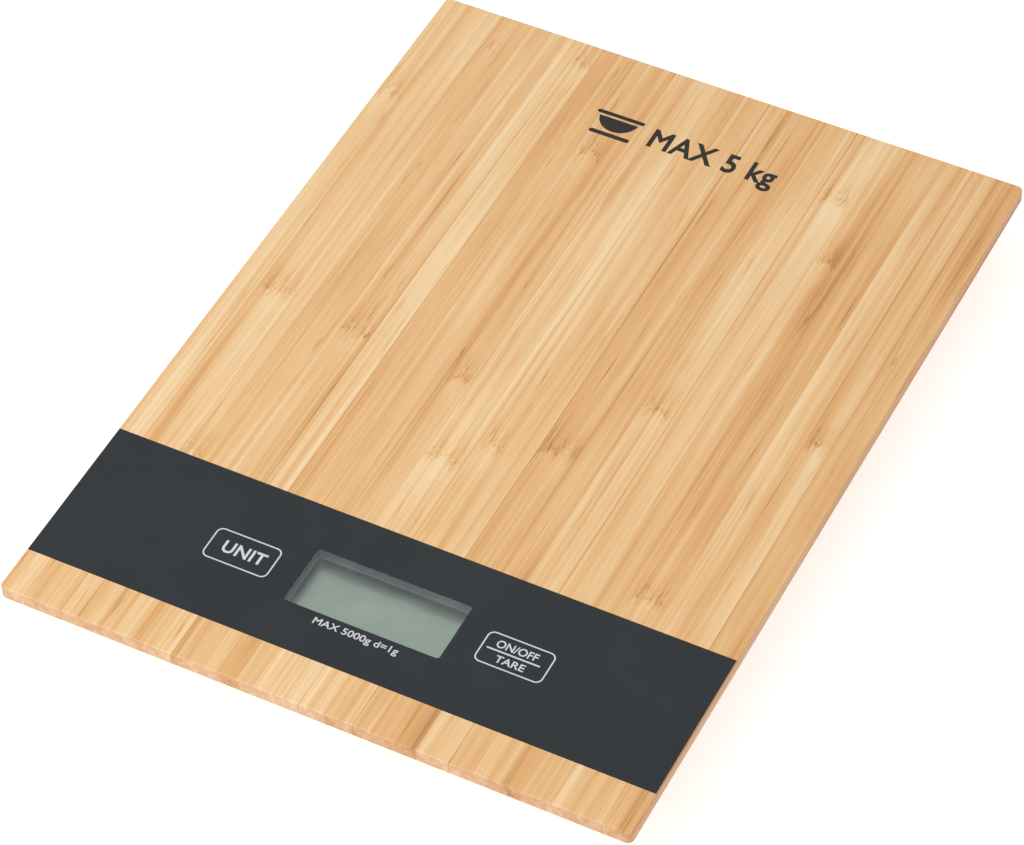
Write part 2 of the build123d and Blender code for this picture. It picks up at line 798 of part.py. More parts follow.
with BuildPart() as gauge_sealant:
    for face_height, outward in gauge_faces:
        with BuildSketch(Plane.XY.offset(face_height)):
            RectangleRounded(beam_width - 2 * sealant_inset, sealant_length, gauge_width / 2)
        extrude(amount=outward * sealant_thickness)
    for face_height, outward in gauge_faces:
        with BuildSketch(Plane.XY.offset(face_height)):
            with GridLocations(0, flexure_hole_pitch, 1, 2):
                Rectangle(gauge_width, gauge_length)
        extrude(amount=outward * gauge_thickness, mode=Mode.SUBTRACT)
gauge_sealant.part.label = "gauge_sealant"
export_step(gauge_sealant.part, "parts/gauge_sealant.step")

# ---- Spacers that leave the beam free to bend ----
for spacer_name, spacer_end, spacer_low, spacer_high, hole_ys in (
    ("lower_spacer", 1, floor_top, beam_bottom, fixed_hole_ys),
    ("upper_spacer", -1, beam_top, carrier_bottom, free_hole_ys),
):
    with BuildPart() as spacer:
        with BuildSketch(Plane.XY.offset(spacer_low)):
            with Locations((0, spacer_end * spacer_y)):
                Rectangle(beam_width, spacer_length)
            with Locations(*[(0, y) for y in hole_ys]):
                Circle(m3_radius + m3_hole_clearance, mode=Mode.SUBTRACT)
        extrude(amount=spacer_high - spacer_low)
    spacer.part.label = spacer_name
    export_step(spacer.part, f"parts/{spacer_name}.step")

# ---- Countersunk screws of the load cell ----
countersunk_screw = screw(
    [
        (0, 0),
        (m3_head_radius, 0),
        (m3_radius, m3_head_height),
        (m3_radius, m3_length),
        (0, m3_length),
    ],
    m3_radius,
    m3_head_radius * cross_recess_share / 2,
    m3_head_height / 2,
)

with BuildPart() as base_cell_screws:
    with Locations(*[(0, y, base_bottom) for y in fixed_hole_ys]):
        add(countersunk_screw)
base_cell_screws.part.label = "base_cell_screws"
export_step(base_cell_screws.part, "parts/base_cell_screws.step")

with BuildPart() as carrier_cell_screws:
    with Locations(*[(0, y, carrier_top) for y in free_hole_ys]):
        add(countersunk_screw, rotation=(180, 0, 0))
carrier_cell_screws.part.label = "carrier_cell_screws"
export_step(carrier_cell_screws.part, "parts/carrier_cell_screws.step")

# ---- Coin cell ----
with BuildPart() as coin_cell:
    add(
        cylinder(
            cell_diameter / 2, cell_bottom, cell_top - cell_cap_step, (battery_x, battery_y)
        )
    )
    chamfer(coin_cell.edges().filter_by(GeomType.CIRCLE), cell_edge_chamfer)
    add(
        cylinder(
            cell_diameter / 2 - cell_cap_inset,
            cell_top - cell_cap_step,
            cell_top,
            (battery_x, battery_y),
        )
    )
coin_cell.part.label = "coin_cell"
export_step(coin_cell.part, "parts/coin_cell.step")

# ---- Battery contacts: the negative one over the cap, the positive one against the rim ----
contact_reach = turret_radius + contact_tail

with BuildPart() as battery_contact_negative:
    with BuildSketch(Plane.XY.offset(cell_top)):
        with Locations((battery_x, battery_y + contact_width / 2)):
            Rectangle(
                contact_width,
                contact_reach + contact_width / 2,
                align=(Align.CENTER, Align.MAX),
            )
    extrude(amount=contact_thickness)
    with BuildSketch(Plane.XY.offset(cell_top)):
        with Locations((battery_x, battery_y - contact_reach)):
            Rectangle(contact_width, contact_thickness, align=(Align.CENTER, Align.MIN))
    extrude(amount=contact_tab_rise)
battery_contact_negative.part.label = "battery_contact_negative"
export_step(battery_contact_negative.part, "parts/battery_contact_negative.step")

with BuildPart() as battery_contact_positive:
    with BuildSketch(Plane.XY.offset(cell_top)):
        with Locations((battery_x + cell_diameter / 2, battery_y)):
            Rectangle(
                contact_reach - cell_diameter / 2,
                contact_width,
                align=(Align.MIN, Align.CENTER),
            )
    extrude(amount=contact_thickness)
    with BuildSketch(Plane.XY.offset(cell_bottom + cell_edge_chamfer)):
        with Locations((battery_x + cell_diameter / 2, battery_y)):
            Rectangle(contact_thickness, contact_width, align=(Align.MIN, Align.CENTER))
    extrude(amount=cell_thickness - cell_edge_chamfer)
    with BuildSketch(Plane.XY.offset(cell_top)):
        with Locations((battery_x + contact_reach, battery_y)):
            Rectangle(contact_thickness, contact_width, align=(Align.MAX, Align.CENTER))
    extrude(amount=contact_tab_rise)
battery_contact_positive.part.label = "battery_contact_positive"
export_step(battery_contact_positive.part, "parts/battery_contact_positive.step")

# ---- Round battery door, turned with a coin ----
with BuildPart() as battery_door:
    add(cylinder(door_radius, base_bottom, floor_top, (battery_x, battery_y)))
    add(
        cylinder(door_radius - door_boss_inset, floor_top, door_boss_top, (battery_x, battery_y))
    )
    with BuildSketch(Plane.XY.offset(lug_bottom)):
        with Locations((battery_x, battery_y)):
            with PolarLocations(0, lug_count):
                Rectangle(lug_radius, lug_width, align=(Align.MIN, Align.CENTER))
            Circle(lug_radius, mode=Mode.INTERSECT)
    extrude(amount=door_boss_top - lug_bottom)
    with BuildSketch(Plane.XY.offset(base_bottom)):
        with Locations((battery_x, battery_y)):
            SlotOverall(coin_slot_length, coin_slot_width)
    extrude(amount=coin_slot_depth, mode=Mode.SUBTRACT)
    with BuildSketch(Plane.XY.offset(base_bottom)):
        with Locations((battery_x, battery_y)):
            with PolarLocations(door_radius - mark_offset, 1, start_angle=-90):
                RegularPolygon(2 * mark_radius, 3)
    extrude(amount=mark_depth, mode=Mode.SUBTRACT)
battery_door.part.label = "battery_door"
export_step(battery_door.part, "parts/battery_door.step")

# ---- Wires of the load cell, side by side along the beam to the circuit board ----
pad_y = pcb_rear - wire_pad_inset
beam_middle = beam_bottom + beam_height / 2
for place, wire_colour in enumerate(("red", "black", "green", "white")):
    run_x = -beam_width / 2 - wire_to_beam - place * wire_pitch
    start_y = sealant_length / 2 + place * wire_pitch
    cell_wire = wire(
        [
            (-beam_width / 2 - wire_end_gap, start_y, beam_middle),
            (run_x, start_y, beam_middle),
            (run_x, pad_y, beam_middle),
            (run_x, pad_y, pcb_bottom),
        ]
    )
    cell_wire.label = f"load_cell_wire_{wire_colour}"
    export_step(cell_wire, f"parts/load_cell_wire_{wire_colour}.step")

# ---- Battery wires, from the contact tabs to the circuit board ----
tab_wire_height = cell_top + contact_thickness + wire_radius
negative_start_y = battery_y - contact_reach - wire_end_gap
battery_wire_black = wire(
    [
        (battery_x, negative_start_y, tab_wire_height),
        (battery_x, pad_y, tab_wire_height),
        (battery_x, pad_y, pcb_bottom),
    ]
)
battery_wire_black.label = "battery_wire_black"
export_step(battery_wire_black, "parts/battery_wire_black.step")

positive_x = battery_x + contact_reach - contact_thickness / 2
positive_start_y = battery_y - contact_width / 2 - wire_end_gap
positive_pad_x = battery_x + wire_side_step
jog_y = pcb_rear + wire_side_step
battery_wire_red = wire(
    [
        (positive_x, positive_start_y, tab_wire_height),
        (positive_x, jog_y, tab_wire_height),
        (positive_pad_x, jog_y, tab_wire_height),
        (positive_pad_x, pad_y, tab_wire_height),
        (positive_pad_x, pad_y, pcb_bottom),
    ]
)
battery_wire_red.label = "battery_wire_red"
export_step(battery_wire_red, "parts/battery_wire_red.step")
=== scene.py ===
"""Finishes, printed legends and studio for a slim bamboo kitchen scale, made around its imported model."""
import math

import bpy
from bpy.props import FloatProperty, FloatVectorProperty, PointerProperty
from mathutils import Matrix, Vector


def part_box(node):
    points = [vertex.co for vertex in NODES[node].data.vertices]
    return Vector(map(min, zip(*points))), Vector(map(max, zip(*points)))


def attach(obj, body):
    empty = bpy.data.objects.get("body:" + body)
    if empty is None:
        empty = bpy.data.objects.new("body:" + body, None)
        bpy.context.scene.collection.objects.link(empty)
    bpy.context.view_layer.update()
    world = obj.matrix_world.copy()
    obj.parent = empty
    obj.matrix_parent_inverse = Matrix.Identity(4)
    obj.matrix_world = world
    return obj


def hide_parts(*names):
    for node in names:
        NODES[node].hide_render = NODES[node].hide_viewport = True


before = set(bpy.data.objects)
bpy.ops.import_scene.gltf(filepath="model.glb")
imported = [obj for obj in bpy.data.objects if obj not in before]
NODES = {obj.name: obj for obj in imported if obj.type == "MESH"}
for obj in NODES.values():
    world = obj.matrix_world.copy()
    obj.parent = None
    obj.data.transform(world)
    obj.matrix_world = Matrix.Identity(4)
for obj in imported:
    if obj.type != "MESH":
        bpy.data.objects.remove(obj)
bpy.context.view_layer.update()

bl_info = {
    "name": "Bamboo kitchen scale",
    "version": (1, 0, 0),
    "blender": (4, 5, 0),
    "location": "View3D > Sidebar > Kitchen scale",
    "description": "Finishes a slim kitchen scale with a bamboo board and an inlaid control panel",
    "category": "Object",
}

MM = 0.001
BOARD_LOW, BOARD_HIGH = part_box("bamboo_board")
WINDOW_LOW, WINDOW_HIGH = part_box("display_window")
UNIT_LOW, UNIT_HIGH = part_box("unit_key_pad")
TARE_LOW, TARE_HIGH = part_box("tare_key_pad")


def length_property(name, description, default):
    return FloatProperty(name=name, description=description, default=default, min=0.0,
                         precision=5, unit="LENGTH", subtype="DISTANCE")


def place_property(name, description, default):
    return FloatProperty(name=name, description=description, default=default,
                         precision=5, unit="LENGTH", subtype="DISTANCE")


def colour_property(name, description, default):
    return FloatVectorProperty(name=name, description=description, default=default,
                               size=3, min=0.0, max=1.0, subtype="COLOR")


def share_property(name, description, default):
    return FloatProperty(name=name, description=description, default=default,
                         min=0.0, max=1.0, subtype="FACTOR")


def angle_property(name, description, degrees):
    return FloatProperty(name=name, description=description, default=math.radians(degrees),
                         unit="ROTATION", subtype="ANGLE")


# ---- What a user would change ----


class BoardSettings(bpy.types.PropertyGroup):
    stave_width: length_property("Stave width", "Width of one glued bamboo stave", 7.7 * MM)
    pale: colour_property("Pale fibre", "Lightest bamboo colour", (0.865, 0.648, 0.378))
    honey: colour_property("Honey fibre", "Middle bamboo colour", (0.770, 0.480, 0.220))
    tan: colour_property("Tan fibre", "Dark bamboo colour", (0.690, 0.362, 0.136))
    brown: colour_property("Brown fibre", "Colour of knuckles and glue lines", (0.470, 0.228, 0.076))
    roughness: share_property("Roughness", "Roughness of the oiled surface", 0.46)


class PrintSettings(bpy.types.PropertyGroup):
    ink_height: length_property("Ink height", "How far the screen print stands up", 0.012 * MM)
    white_ink: colour_property("White ink", "Colour of the panel's print", (0.62, 0.64, 0.66))
    dark_ink: colour_property("Dark ink", "Colour of the print on the bamboo", (0.010, 0.008, 0.005))
    outline_width: length_property("Key outline width", "Width of a key's outline, outside", 17.0 * MM)
    outline_depth: length_property("Key outline depth", "Depth of a key's outline, outside", 9.35 * MM)
    outline_line: length_property("Key outline line", "Width of the outline's own line", 0.35 * MM)
    outline_radius: length_property("Key outline corner", "Corner radius of a key's outline", 1.7 * MM)


class PanelSettings(bpy.types.PropertyGroup):
    film: colour_property("Film", "Colour of the panel film", (0.0050, 0.0095, 0.0135))
    roughness: share_property("Film roughness", "Roughness of the panel film", 0.34)
    bezel: colour_property("Bezel", "Colour of the frame under the window", (0.046, 0.053, 0.056))
    display: colour_property("Display", "Colour of the unlit display", (0.575, 0.735, 0.595))


class CaseSettings(bpy.types.PropertyGroup):
    plastic: colour_property("Case", "Colour of the moulded case", (0.70, 0.70, 0.68))
    rubber: colour_property("Feet", "Colour of the rubber feet", (0.052, 0.053, 0.055))


class StudioSettings(bpy.types.PropertyGroup):
    lens: FloatProperty(name="Lens", description="Focal length on a 36 mm sensor", default=151.41,
                        min=20.0, subtype="NONE")
    azimuth: angle_property("Azimuth", "How far the camera stands to the right of the front", 28.495)
    elevation: angle_property("Elevation", "How far the camera stands above the horizon", 47.803)
    roll: angle_property("Roll", "Turn of the camera about its own axis", -1.925)
    distance: length_property("Distance", "From the camera to its aim", 1008.66 * MM)
    aim_x: place_property("Aim X", "Where the camera looks, across", 2.228 * MM)
    aim_y: place_property("Aim Y", "Where the camera looks, along", -14.297 * MM)
    aim_z: place_property("Aim Z", "Where the camera looks, above the floor", 18.0 * MM)
    sky: FloatProperty(name="Sky", description="Strength of the even white light", default=0.80, min=0.0)
    key: FloatProperty(name="Key light", description="Power of the large soft light", default=4.6, min=0.0)
    fill: FloatProperty(name="Fill light", description="Power of the low front light", default=2.5, min=0.0)
    floor: colour_property("Floor", "Colour of the floor", (0.93, 0.93, 0.93))
    floor_glow: share_property("Floor glow", "Light that the white floor gives off by itself", 0.38)


# ---- Shader nodes ----


def put(tree, kind, feeds=None, **settings):
    """Adds one shader node; feeds holds its inputs by name or number, as sockets or as values."""
    node = tree.nodes.new("ShaderNode" + kind)
    for name, value in settings.items():
        setattr(node, name, value)
    for key, value in (feeds or {}).items():
        if isinstance(value, bpy.types.NodeSocket):
            tree.links.new(value, node.inputs[key])
        else:
            node.inputs[key].default_value = value
    return node


def calc(tree, operation, *values):
    return put(tree, "Math", dict(enumerate(values)), operation=operation).outputs[0]


def times(tree, first, second):
    return calc(tree, "MULTIPLY", first, second)


def plus(tree, first, second):
    return calc(tree, "ADD", first, second)


def minus(tree, first, second):
    return calc(tree, "SUBTRACT", first, second)


def size_of(tree, value):
    return calc(tree, "ABSOLUTE", value)


def scaled(tree, value, share, base):
    """A value times its share, on top of a base."""
    return calc(tree, "MULTIPLY_ADD", value, share, base)


def remap(tree, value, low, high, out_low=0.0, out_high=1.0, smooth=True):
    return put(tree, "MapRange", {"Value": value, "From Min": low, "From Max": high, "To Min": out_low,
                                  "To Max": out_high},
               interpolation_type="SMOOTHSTEP" if smooth else "LINEAR").outputs[0]


def tint(tree, share, first, second, mode="MIX"):
    """Mixes two colours by a share, in the blend mode given."""
    def whole(colour):
        return colour if isinstance(colour, bpy.types.NodeSocket) else (*colour, 1.0)
    return put(tree, "Mix", {0: share, 6: whole(first), 7: whole(second)},
               data_type="RGBA", blend_type=mode).outputs[2]


def place_in_mm(tree):
    """The object's own coordinates in millimetres."""
    coordinates = put(tree, "TexCoord").outputs["Object"]
    return put(tree, "VectorMath", {0: coordinates, "Scale": 1 / MM}, operation="SCALE").outputs[0]


def stretched(tree, place, sizes, shift=(0.0, 0.0, 0.0)):
    """Coordinates divided by a feature size along each axis, in millimetres."""
    return put(tree, "Mapping", {"Vector": place, "Location": shift, "Scale": [1 / size for size in sizes]},
               vector_type="POINT").outputs[0]


def noise(tree, vector, detail=2.0, roughness=0.5, distortion=0.0):
    return put(tree, "TexNoise", {"Vector": vector, "Scale": 1.0, "Detail": detail, "Roughness": roughness,
                                  "Distortion": distortion}).outputs["Fac"]


def new_group(name, inputs, outputs):
    """An empty node group with the named inputs and outputs, and the nodes at its two ends."""
    group = bpy.data.node_groups.new(name, "ShaderNodeTree")
    for label, kind, default in inputs:
        socket = group.interface.new_socket(name=label, in_out="INPUT", socket_type="NodeSocket" + kind)
        if default is not None:
            socket.default_value = default
    for label, kind in outputs:
        group.interface.new_socket(name=label, in_out="OUTPUT", socket_type="NodeSocket" + kind)
    return group, group.nodes.new("NodeGroupInput").outputs, group.nodes.new("NodeGroupOutput").inputs


def moulded_grain_group():
    """Fine spark-eroded grain of a moulded surface, and a broad unevenness of its tone."""
    group, given, made = new_group("moulded_grain", [("Place", "Vector", None), ("Grain Size", "Float", 0.4)],
                                   [("Height", "Float"), ("Tone", "Float")])
    share = calc(group, "DIVIDE", 1.0, given["Grain Size"])
    fine = put(group, "VectorMath", {0: given["Place"], "Scale": share}, operation="SCALE").outputs[0]
    broad = put(group, "VectorMath", {0: given["Place"], "Scale": 0.045}, operation="SCALE").outputs[0]
    pits = put(group, "TexVoronoi", {"Vector": fine, "Scale": 1.0, "Randomness": 1.0}).outputs["Distance"]
    cloud = noise(group, fine, 3.0, 0.6)
    group.links.new(scaled(group, pits, 0.5, cloud), made["Height"])
    group.links.new(noise(group, broad, 3.0, 0.6), made["Tone"])
    return group


def handling_marks_group():
    """Faint finger smudges, dust specks and hairline scratches."""
    group, given, made = new_group("handling_marks",
                                   [("Place", "Vector", None), ("Smudge Size", "Float", 16.0)],
                                   [("Smudge", "Float"), ("Dust", "Float"), ("Scratch", "Float")])
    share = calc(group, "DIVIDE", 1.0, given["Smudge Size"])
    broad = put(group, "VectorMath", {0: given["Place"], "Scale": share}, operation="SCALE").outputs[0]
    smudge = remap(group, noise(group, broad, 4.0, 0.62, 0.8), 0.46, 0.72)
    cells = put(group, "TexVoronoi", {"Vector": given["Place"], "Scale": 0.28, "Randomness": 1.0})
    chosen = calc(group, "GREATER_THAN", put(group, "SeparateColor",
                                             {0: cells.outputs["Color"]}).outputs[0], 0.72)
    dust = times(group, remap(group, cells.outputs["Distance"], 0.045, 0.015), chosen)
    turned = put(group, "Mapping", {"Vector": given["Place"], "Rotation": (0.0, 0.0, 0.6),
                                    "Scale": (0.9, 0.035, 0.9)}).outputs[0]
    line = size_of(group, minus(group, noise(group, turned, 2.0, 0.5), 0.5))
    patchy = remap(group, noise(group, broad, 1.0, 0.5), 0.52, 0.62)
    group.links.new(smudge, made["Smudge"])
    group.links.new(dust, made["Dust"])
    group.links.new(times(group, remap(group, line, 0.006, 0.001), patchy), made["Scratch"])
    return group


def edge_rub_group():
    """Where rounded upper and lower edges are rubbed brighter, broken up so that the rub is uneven."""
    group, given, made = new_group("edge_rub", [("Place", "Vector", None), ("Normal", "Vector", None)],
                                   [("Rub", "Float")])
    upright = size_of(group, put(group, "SeparateXYZ", {0: given["Normal"]}).outputs["Z"])
    slanted = times(group, upright, minus(group, 1.0, upright))
    uneven = noise(group, stretched(group, given["Place"], (1.6, 1.6, 1.6)), 3.0, 0.6)
    rub = times(group, remap(group, slanted, 0.12, 0.24), remap(group, uneven, 0.38, 0.62))
    group.links.new(rub, made["Rub"])
    return group


def drawn_metal_group():
    """Rolling or drawing lines of bare metal along one axis, with slow changes of tone."""
    group, given, made = new_group("drawn_metal",
                                   [("Place", "Vector", None), ("Line Size", "Vector", (0.06, 6.0, 0.06))],
                                   [("Lines", "Float"), ("Tone", "Float")])
    fine = put(group, "VectorMath", {0: given["Place"], 1: given["Line Size"]}, operation="DIVIDE").outputs[0]
    group.links.new(noise(group, fine, 3.0, 0.65), made["Lines"])
    group.links.new(noise(group, stretched(group, given["Place"], (9.0, 9.0, 9.0)), 3.0, 0.6), made["Tone"])
    return group


GROUPS = {}


def shared(name):
    """The node group of that name, built the first time it is asked for."""
    builders = {"moulded_grain": moulded_grain_group, "handling_marks": handling_marks_group,
                "edge_rub": edge_rub_group, "drawn_metal": drawn_metal_group}
    if name not in GROUPS:
        GROUPS[name] = builders[name]()
    return GROUPS[name]


def use(tree, name, feeds):
    """Puts a shared group in a material with its own values and returns its outputs."""
    node = tree.nodes.new("ShaderNodeGroup")
    node.node_tree = shared(name)
    for key, value in feeds.items():
        if isinstance(value, bpy.types.NodeSocket):
            tree.links.new(value, node.inputs[key])
        else:
            node.inputs[key].default_value = value
    return node.outputs


def new_material(name, **values):
    """A material with one Principled shader; values are set on the shader's own sockets."""
    material = bpy.data.materials.new(name)
    material.use_nodes = True
    tree = material.node_tree
    shader = tree.nodes["Principled BSDF"]
    for key, value in values.items():
        shader.inputs[key.replace("_", " ")].default_value = value
    return material, tree, shader.inputs


def surface(name, grain_size, smudge_size, **values):
    """A new material with the object's millimetres, the shared grain and the shared handling marks."""
    material, tree, inputs = new_material(name, **values)
    place = place_in_mm(tree)
    grain = use(tree, "moulded_grain", {"Place": place, "Grain Size": grain_size})
    marks = use(tree, "handling_marks", {"Place": place, "Smudge Size": smudge_size})
    return material, tree, inputs, place, grain, marks


def bump(tree, inputs, height, depth, strength=1.0):
    """Feeds a Bump node with a height from 0 to 1 that stands for a depth in millimetres."""
    node = put(tree, "Bump", {"Height": height, "Distance": depth * MM, "Strength": strength})
    tree.links.new(node.outputs["Normal"], inputs["Normal"])


def lay(tree, inputs, colour, roughness, height, depth, strength=1.0):
    """Feeds a finish's colour, roughness and relief to its shader."""
    tree.links.new(colour, inputs["Base Color"])
    tree.links.new(roughness, inputs["Roughness"])
    bump(tree, inputs, height, depth, strength)


# ---- Materials ----

# For each bamboo stave from left to right: its tone, the lean of its tone from one side to the other,
# and where its knuckle lies from front to back of the board, with 0 for none.
STAVES = [
    (0.30, 0.60, 0.83), (0.44, 0.40, 0.50), (0.46, 0.55, 0.25), (0.50, 0.45, 0.00), (0.44, 0.62, 0.48),
    (0.30, 0.50, 0.97), (0.62, 0.35, 0.00), (0.60, 0.58, 0.84), (0.56, 0.30, 0.47), (0.32, 0.50, 0.36),
    (0.47, 0.66, 0.40), (0.55, 0.42, 0.00), (0.70, 0.55, 0.42), (0.66, 0.60, 0.00), (0.46, 0.38, 0.52),
    (0.50, 0.45, 0.89), (0.60, 0.58, 0.80), (0.68, 0.40, 0.28), (0.52, 0.56, 0.00), (0.54, 0.35, 0.55),
    (0.74, 0.50, 0.00),
]


def stave_facts(tree, number):
    """Looks up the tone, lean and knuckle of a numbered stave."""
    ramp = put(tree, "ValToRGB", {"Fac": calc(tree, "DIVIDE", plus(tree, number, 0.5), len(STAVES))})
    ramp.color_ramp.interpolation = "CONSTANT"
    while len(ramp.color_ramp.elements) > 1:
        ramp.color_ramp.elements.remove(ramp.color_ramp.elements[-1])
    stops = ramp.color_ramp.elements
    for index, facts in enumerate(STAVES):
        stop = stops[0] if index == 0 else stops.new(index / len(STAVES))
        stop.position = index / len(STAVES)
        stop.color = (*facts, 1.0)
    return put(tree, "SeparateColor", {0: ramp.outputs["Color"]}).outputs


def bamboo(settings):
    """Laminated bamboo: staves of their own tone with long fibres, glue lines, knuckles and end grain."""
    material, tree, inputs = new_material("laminated_bamboo", IOR=1.45)
    place = place_in_mm(tree)
    axes = put(tree, "SeparateXYZ", {0: place}).outputs
    stave = settings.stave_width / MM
    left = BOARD_LOW.x / MM
    board_depth = (BOARD_HIGH.y - BOARD_LOW.y) / MM

    # The staves are not all as wide: the even count across the board is bent by a slow wave.
    even = calc(tree, "DIVIDE", minus(tree, axes["X"], left), stave)
    across = scaled(tree, calc(tree, "SINE", times(tree, even, 2.3)), 0.14, even)
    number = calc(tree, "FLOOR", across)
    share = calc(tree, "FRACT", across)
    tone, lean, knuckle = stave_facts(tree, number)[:3]
    chance = put(tree, "TexWhiteNoise", {"W": number}, noise_dimensions="1D").outputs["Value"]
    joint = plus(tree, calc(tree, "FLOOR", plus(tree, across, 0.5)), 31.4)
    joint_chance = put(tree, "TexWhiteNoise", {"W": joint}, noise_dimensions="1D").outputs["Value"]

    def fibres(where, sizes, detail, roughness=0.5, shift=(0.0, 0.0, 0.0), tangle=0.0):
        """Noise with features of these sizes across, along and through the board, in millimetres."""
        return noise(tree, stretched(tree, where, sizes, shift), detail, roughness, tangle)

    # Each stave is cut from its own culm, so its fibres are shifted along and drift a little.
    drift = times(tree, minus(tree, fibres(place, (14.0, 130.0, 40.0), 1.0), 0.5), 2.2)
    fibre_axes = {"X": plus(tree, axes["X"], drift), "Y": scaled(tree, chance, 900.0, axes["Y"]), "Z": axes["Z"]}
    fibre_place = put(tree, "CombineXYZ", fibre_axes).outputs[0]
    band = fibres(fibre_place, (2.3, 170.0, 2.6), 2.0, 0.55)
    streak = fibres(fibre_place, (0.75, 75.0, 0.9), 3.0, 0.6, (3.1, 0.7, 0.0))
    fibre = fibres(fibre_place, (0.20, 12.0, 0.22), 3.0, 0.62)
    slow = fibres(fibre_place, (9.0, 60.0, 30.0), 1.0, 0.5, (7.7, 0.2, 0.0))
    to_vein = fibres(fibre_place, (1.9, 95.0, 2.1), 1.0, 0.5, (11.3, 4.1, 0.0))
    to_vein = size_of(tree, minus(tree, to_vein, 0.52))
    broken = remap(tree, fibres(fibre_place, (3.0, 30.0, 3.0), 1.0, 0.5, (1.3, 9.1, 0.0)), 0.45, 0.62)
    vein = times(tree, remap(tree, to_vein, 0.016, 0.003), broken)

    # A knuckle is a ragged patch of tangled short fibres: darker behind its bowed line, paler before it.
    # "past" is the distance behind that line in millimetres.
    ragged = times(tree, minus(tree, fibres(place, (1.1, 7.0, 2.0), 3.0, 0.7), 0.5), 9.0)
    middle = minus(tree, share, 0.5)
    bow = times(tree, times(tree, middle, middle), 6.0)
    past = minus(tree, axes["Y"], scaled(tree, knuckle, board_depth, BOARD_LOW.y / MM))
    past = plus(tree, plus(tree, past, bow), ragged)
    tangle = minus(tree, fibres(place, (0.80, 3.2, 1.0), 3.0, 0.65, (2.0, 5.0, 0.0), 1.6), 0.5)
    has_knuckle = calc(tree, "GREATER_THAN", knuckle, 0.01)
    inside = times(tree, remap(tree, size_of(tree, middle), 0.56, 0.30), has_knuckle)
    line = times(tree, remap(tree, size_of(tree, past), 1.3, 0.0), remap(tree, tangle, -0.1, 0.1))
    behind = times(tree, times(tree, remap(tree, past, 12.0, 1.0), remap(tree, past, -3.5, 2.0)),
                   remap(tree, streak, 0.34, 0.64, 0.25, 1.0))
    before = times(tree, remap(tree, past, -14.0, -3.0), remap(tree, past, 2.0, -4.0))
    patch = times(tree, times(tree, remap(tree, past, 8.0, 1.0), remap(tree, past, -6.0, -0.5)), tangle)

    # The total darkness, from pale at 0 to brown at 1: the stave's tone and lean, its fibres, then its marks.
    total = scaled(tree, minus(tree, tone, 0.5), 0.62, 0.46)
    total = plus(tree, total, times(tree, minus(tree, lean, 0.5), times(tree, middle, 1.5)))
    for part, weight in ((band, 1.05), (streak, 0.72), (fibre, 0.36), (slow, 0.55)):
        total = scaled(tree, minus(tree, part, 0.5), weight, total)
    total = scaled(tree, vein, 0.30, total)
    for part, weight in ((line, 0.19), (behind, 0.22), (before, -0.09), (patch, 1.2)):
        total = scaled(tree, times(tree, part, inside), weight, total)
    to_joint = times(tree, minus(tree, 0.5, size_of(tree, middle)), stave)
    glue = times(tree, remap(tree, to_joint, 0.22, 0.04), remap(tree, joint_chance, 0.25, 0.95, 0.12, 1.0))
    total = scaled(tree, glue, 0.34, total)

    ramp = put(tree, "ValToRGB", {"Fac": total})
    stops = ramp.color_ramp.elements
    stops[0].position, stops[0].color = 0.08, (*settings.pale, 1.0)
    stops[1].position, stops[1].color = 1.0, (*settings.brown, 1.0)
    for position, colour in ((0.45, settings.honey), (0.74, settings.tan)):
        stops.new(position).color = (*colour, 1.0)

    # The ends show cut fibre bundles as dots, and all the cut sides are darkened and cooled a little as painted
    # shade.
    normal = put(tree, "SeparateXYZ", {0: put(tree, "TexCoord").outputs["Normal"]}).outputs
    is_end = remap(tree, size_of(tree, normal["Y"]), 0.45, 0.75)
    is_side = remap(tree, size_of(tree, normal["Z"]), 0.75, 0.45)
    bundles = put(tree, "TexVoronoi", {"Vector": stretched(tree, place, (0.42, 30.0, 0.55)), "Scale": 1.0})
    dots = times(tree, remap(tree, bundles.outputs["Distance"], 0.42, 0.12), is_end)
    # Painted shade: the side and end faces are multiplied by a dim, bluish grey so they read as less lit than
    # the top.
    colour = tint(tree, is_side, ramp.outputs["Color"], (0.76, 0.73, 0.86), "MULTIPLY")
    colour = tint(tree, times(tree, dots, 0.36), colour, settings.brown)
    tree.links.new(colour, inputs["Base Color"])

    smudge = use(tree, "handling_marks", {"Place": place, "Smudge Size": 34.0})
    rough = scaled(tree, minus(tree, fibre, 0.5), 0.22, settings.roughness)
    rough = scaled(tree, smudge["Smudge"], -0.05, rough)
    tree.links.new(scaled(tree, is_side, 0.16, rough), inputs["Roughness"])
    height = scaled(tree, plus(tree, vein, glue), -0.8, plus(tree, fibre, streak))
    bump(tree, inputs, scaled(tree, dots, -0.8, height), 0.018, 0.8)
    return material


def plastic(name, colour, roughness, grain_size, grain_depth, rub, smudge):
    """A moulded plastic or rubber: grain, uneven tone, rubbed edges, smudges and a little dust."""
    material, tree, inputs, place, grain, marks = surface(name, grain_size, 14.0)
    edge = use(tree, "edge_rub", {"Place": place, "Normal": put(tree, "TexCoord").outputs["Normal"]})
    lit = [min(1.0, 0.06 + part * 1.35) for part in colour]
    uneven = tint(tree, remap(tree, grain["Tone"], 0.3, 0.7), [part * 0.955 for part in colour],
                  [min(1.0, part * 1.035) for part in colour])
    worn = tint(tree, times(tree, edge["Rub"], rub), uneven, lit)
    dusty = tint(tree, times(tree, marks["Dust"], 0.35), worn, (0.55, 0.54, 0.52))
    tree.links.new(dusty, inputs["Base Color"])
    rough = scaled(tree, marks["Smudge"], smudge, roughness)
    rough = scaled(tree, marks["Scratch"], 0.12, rough)
    tree.links.new(scaled(tree, grain["Tone"], 0.06, rough), inputs["Roughness"])
    bump(tree, inputs, grain["Height"], grain_depth, 0.7)
    return material


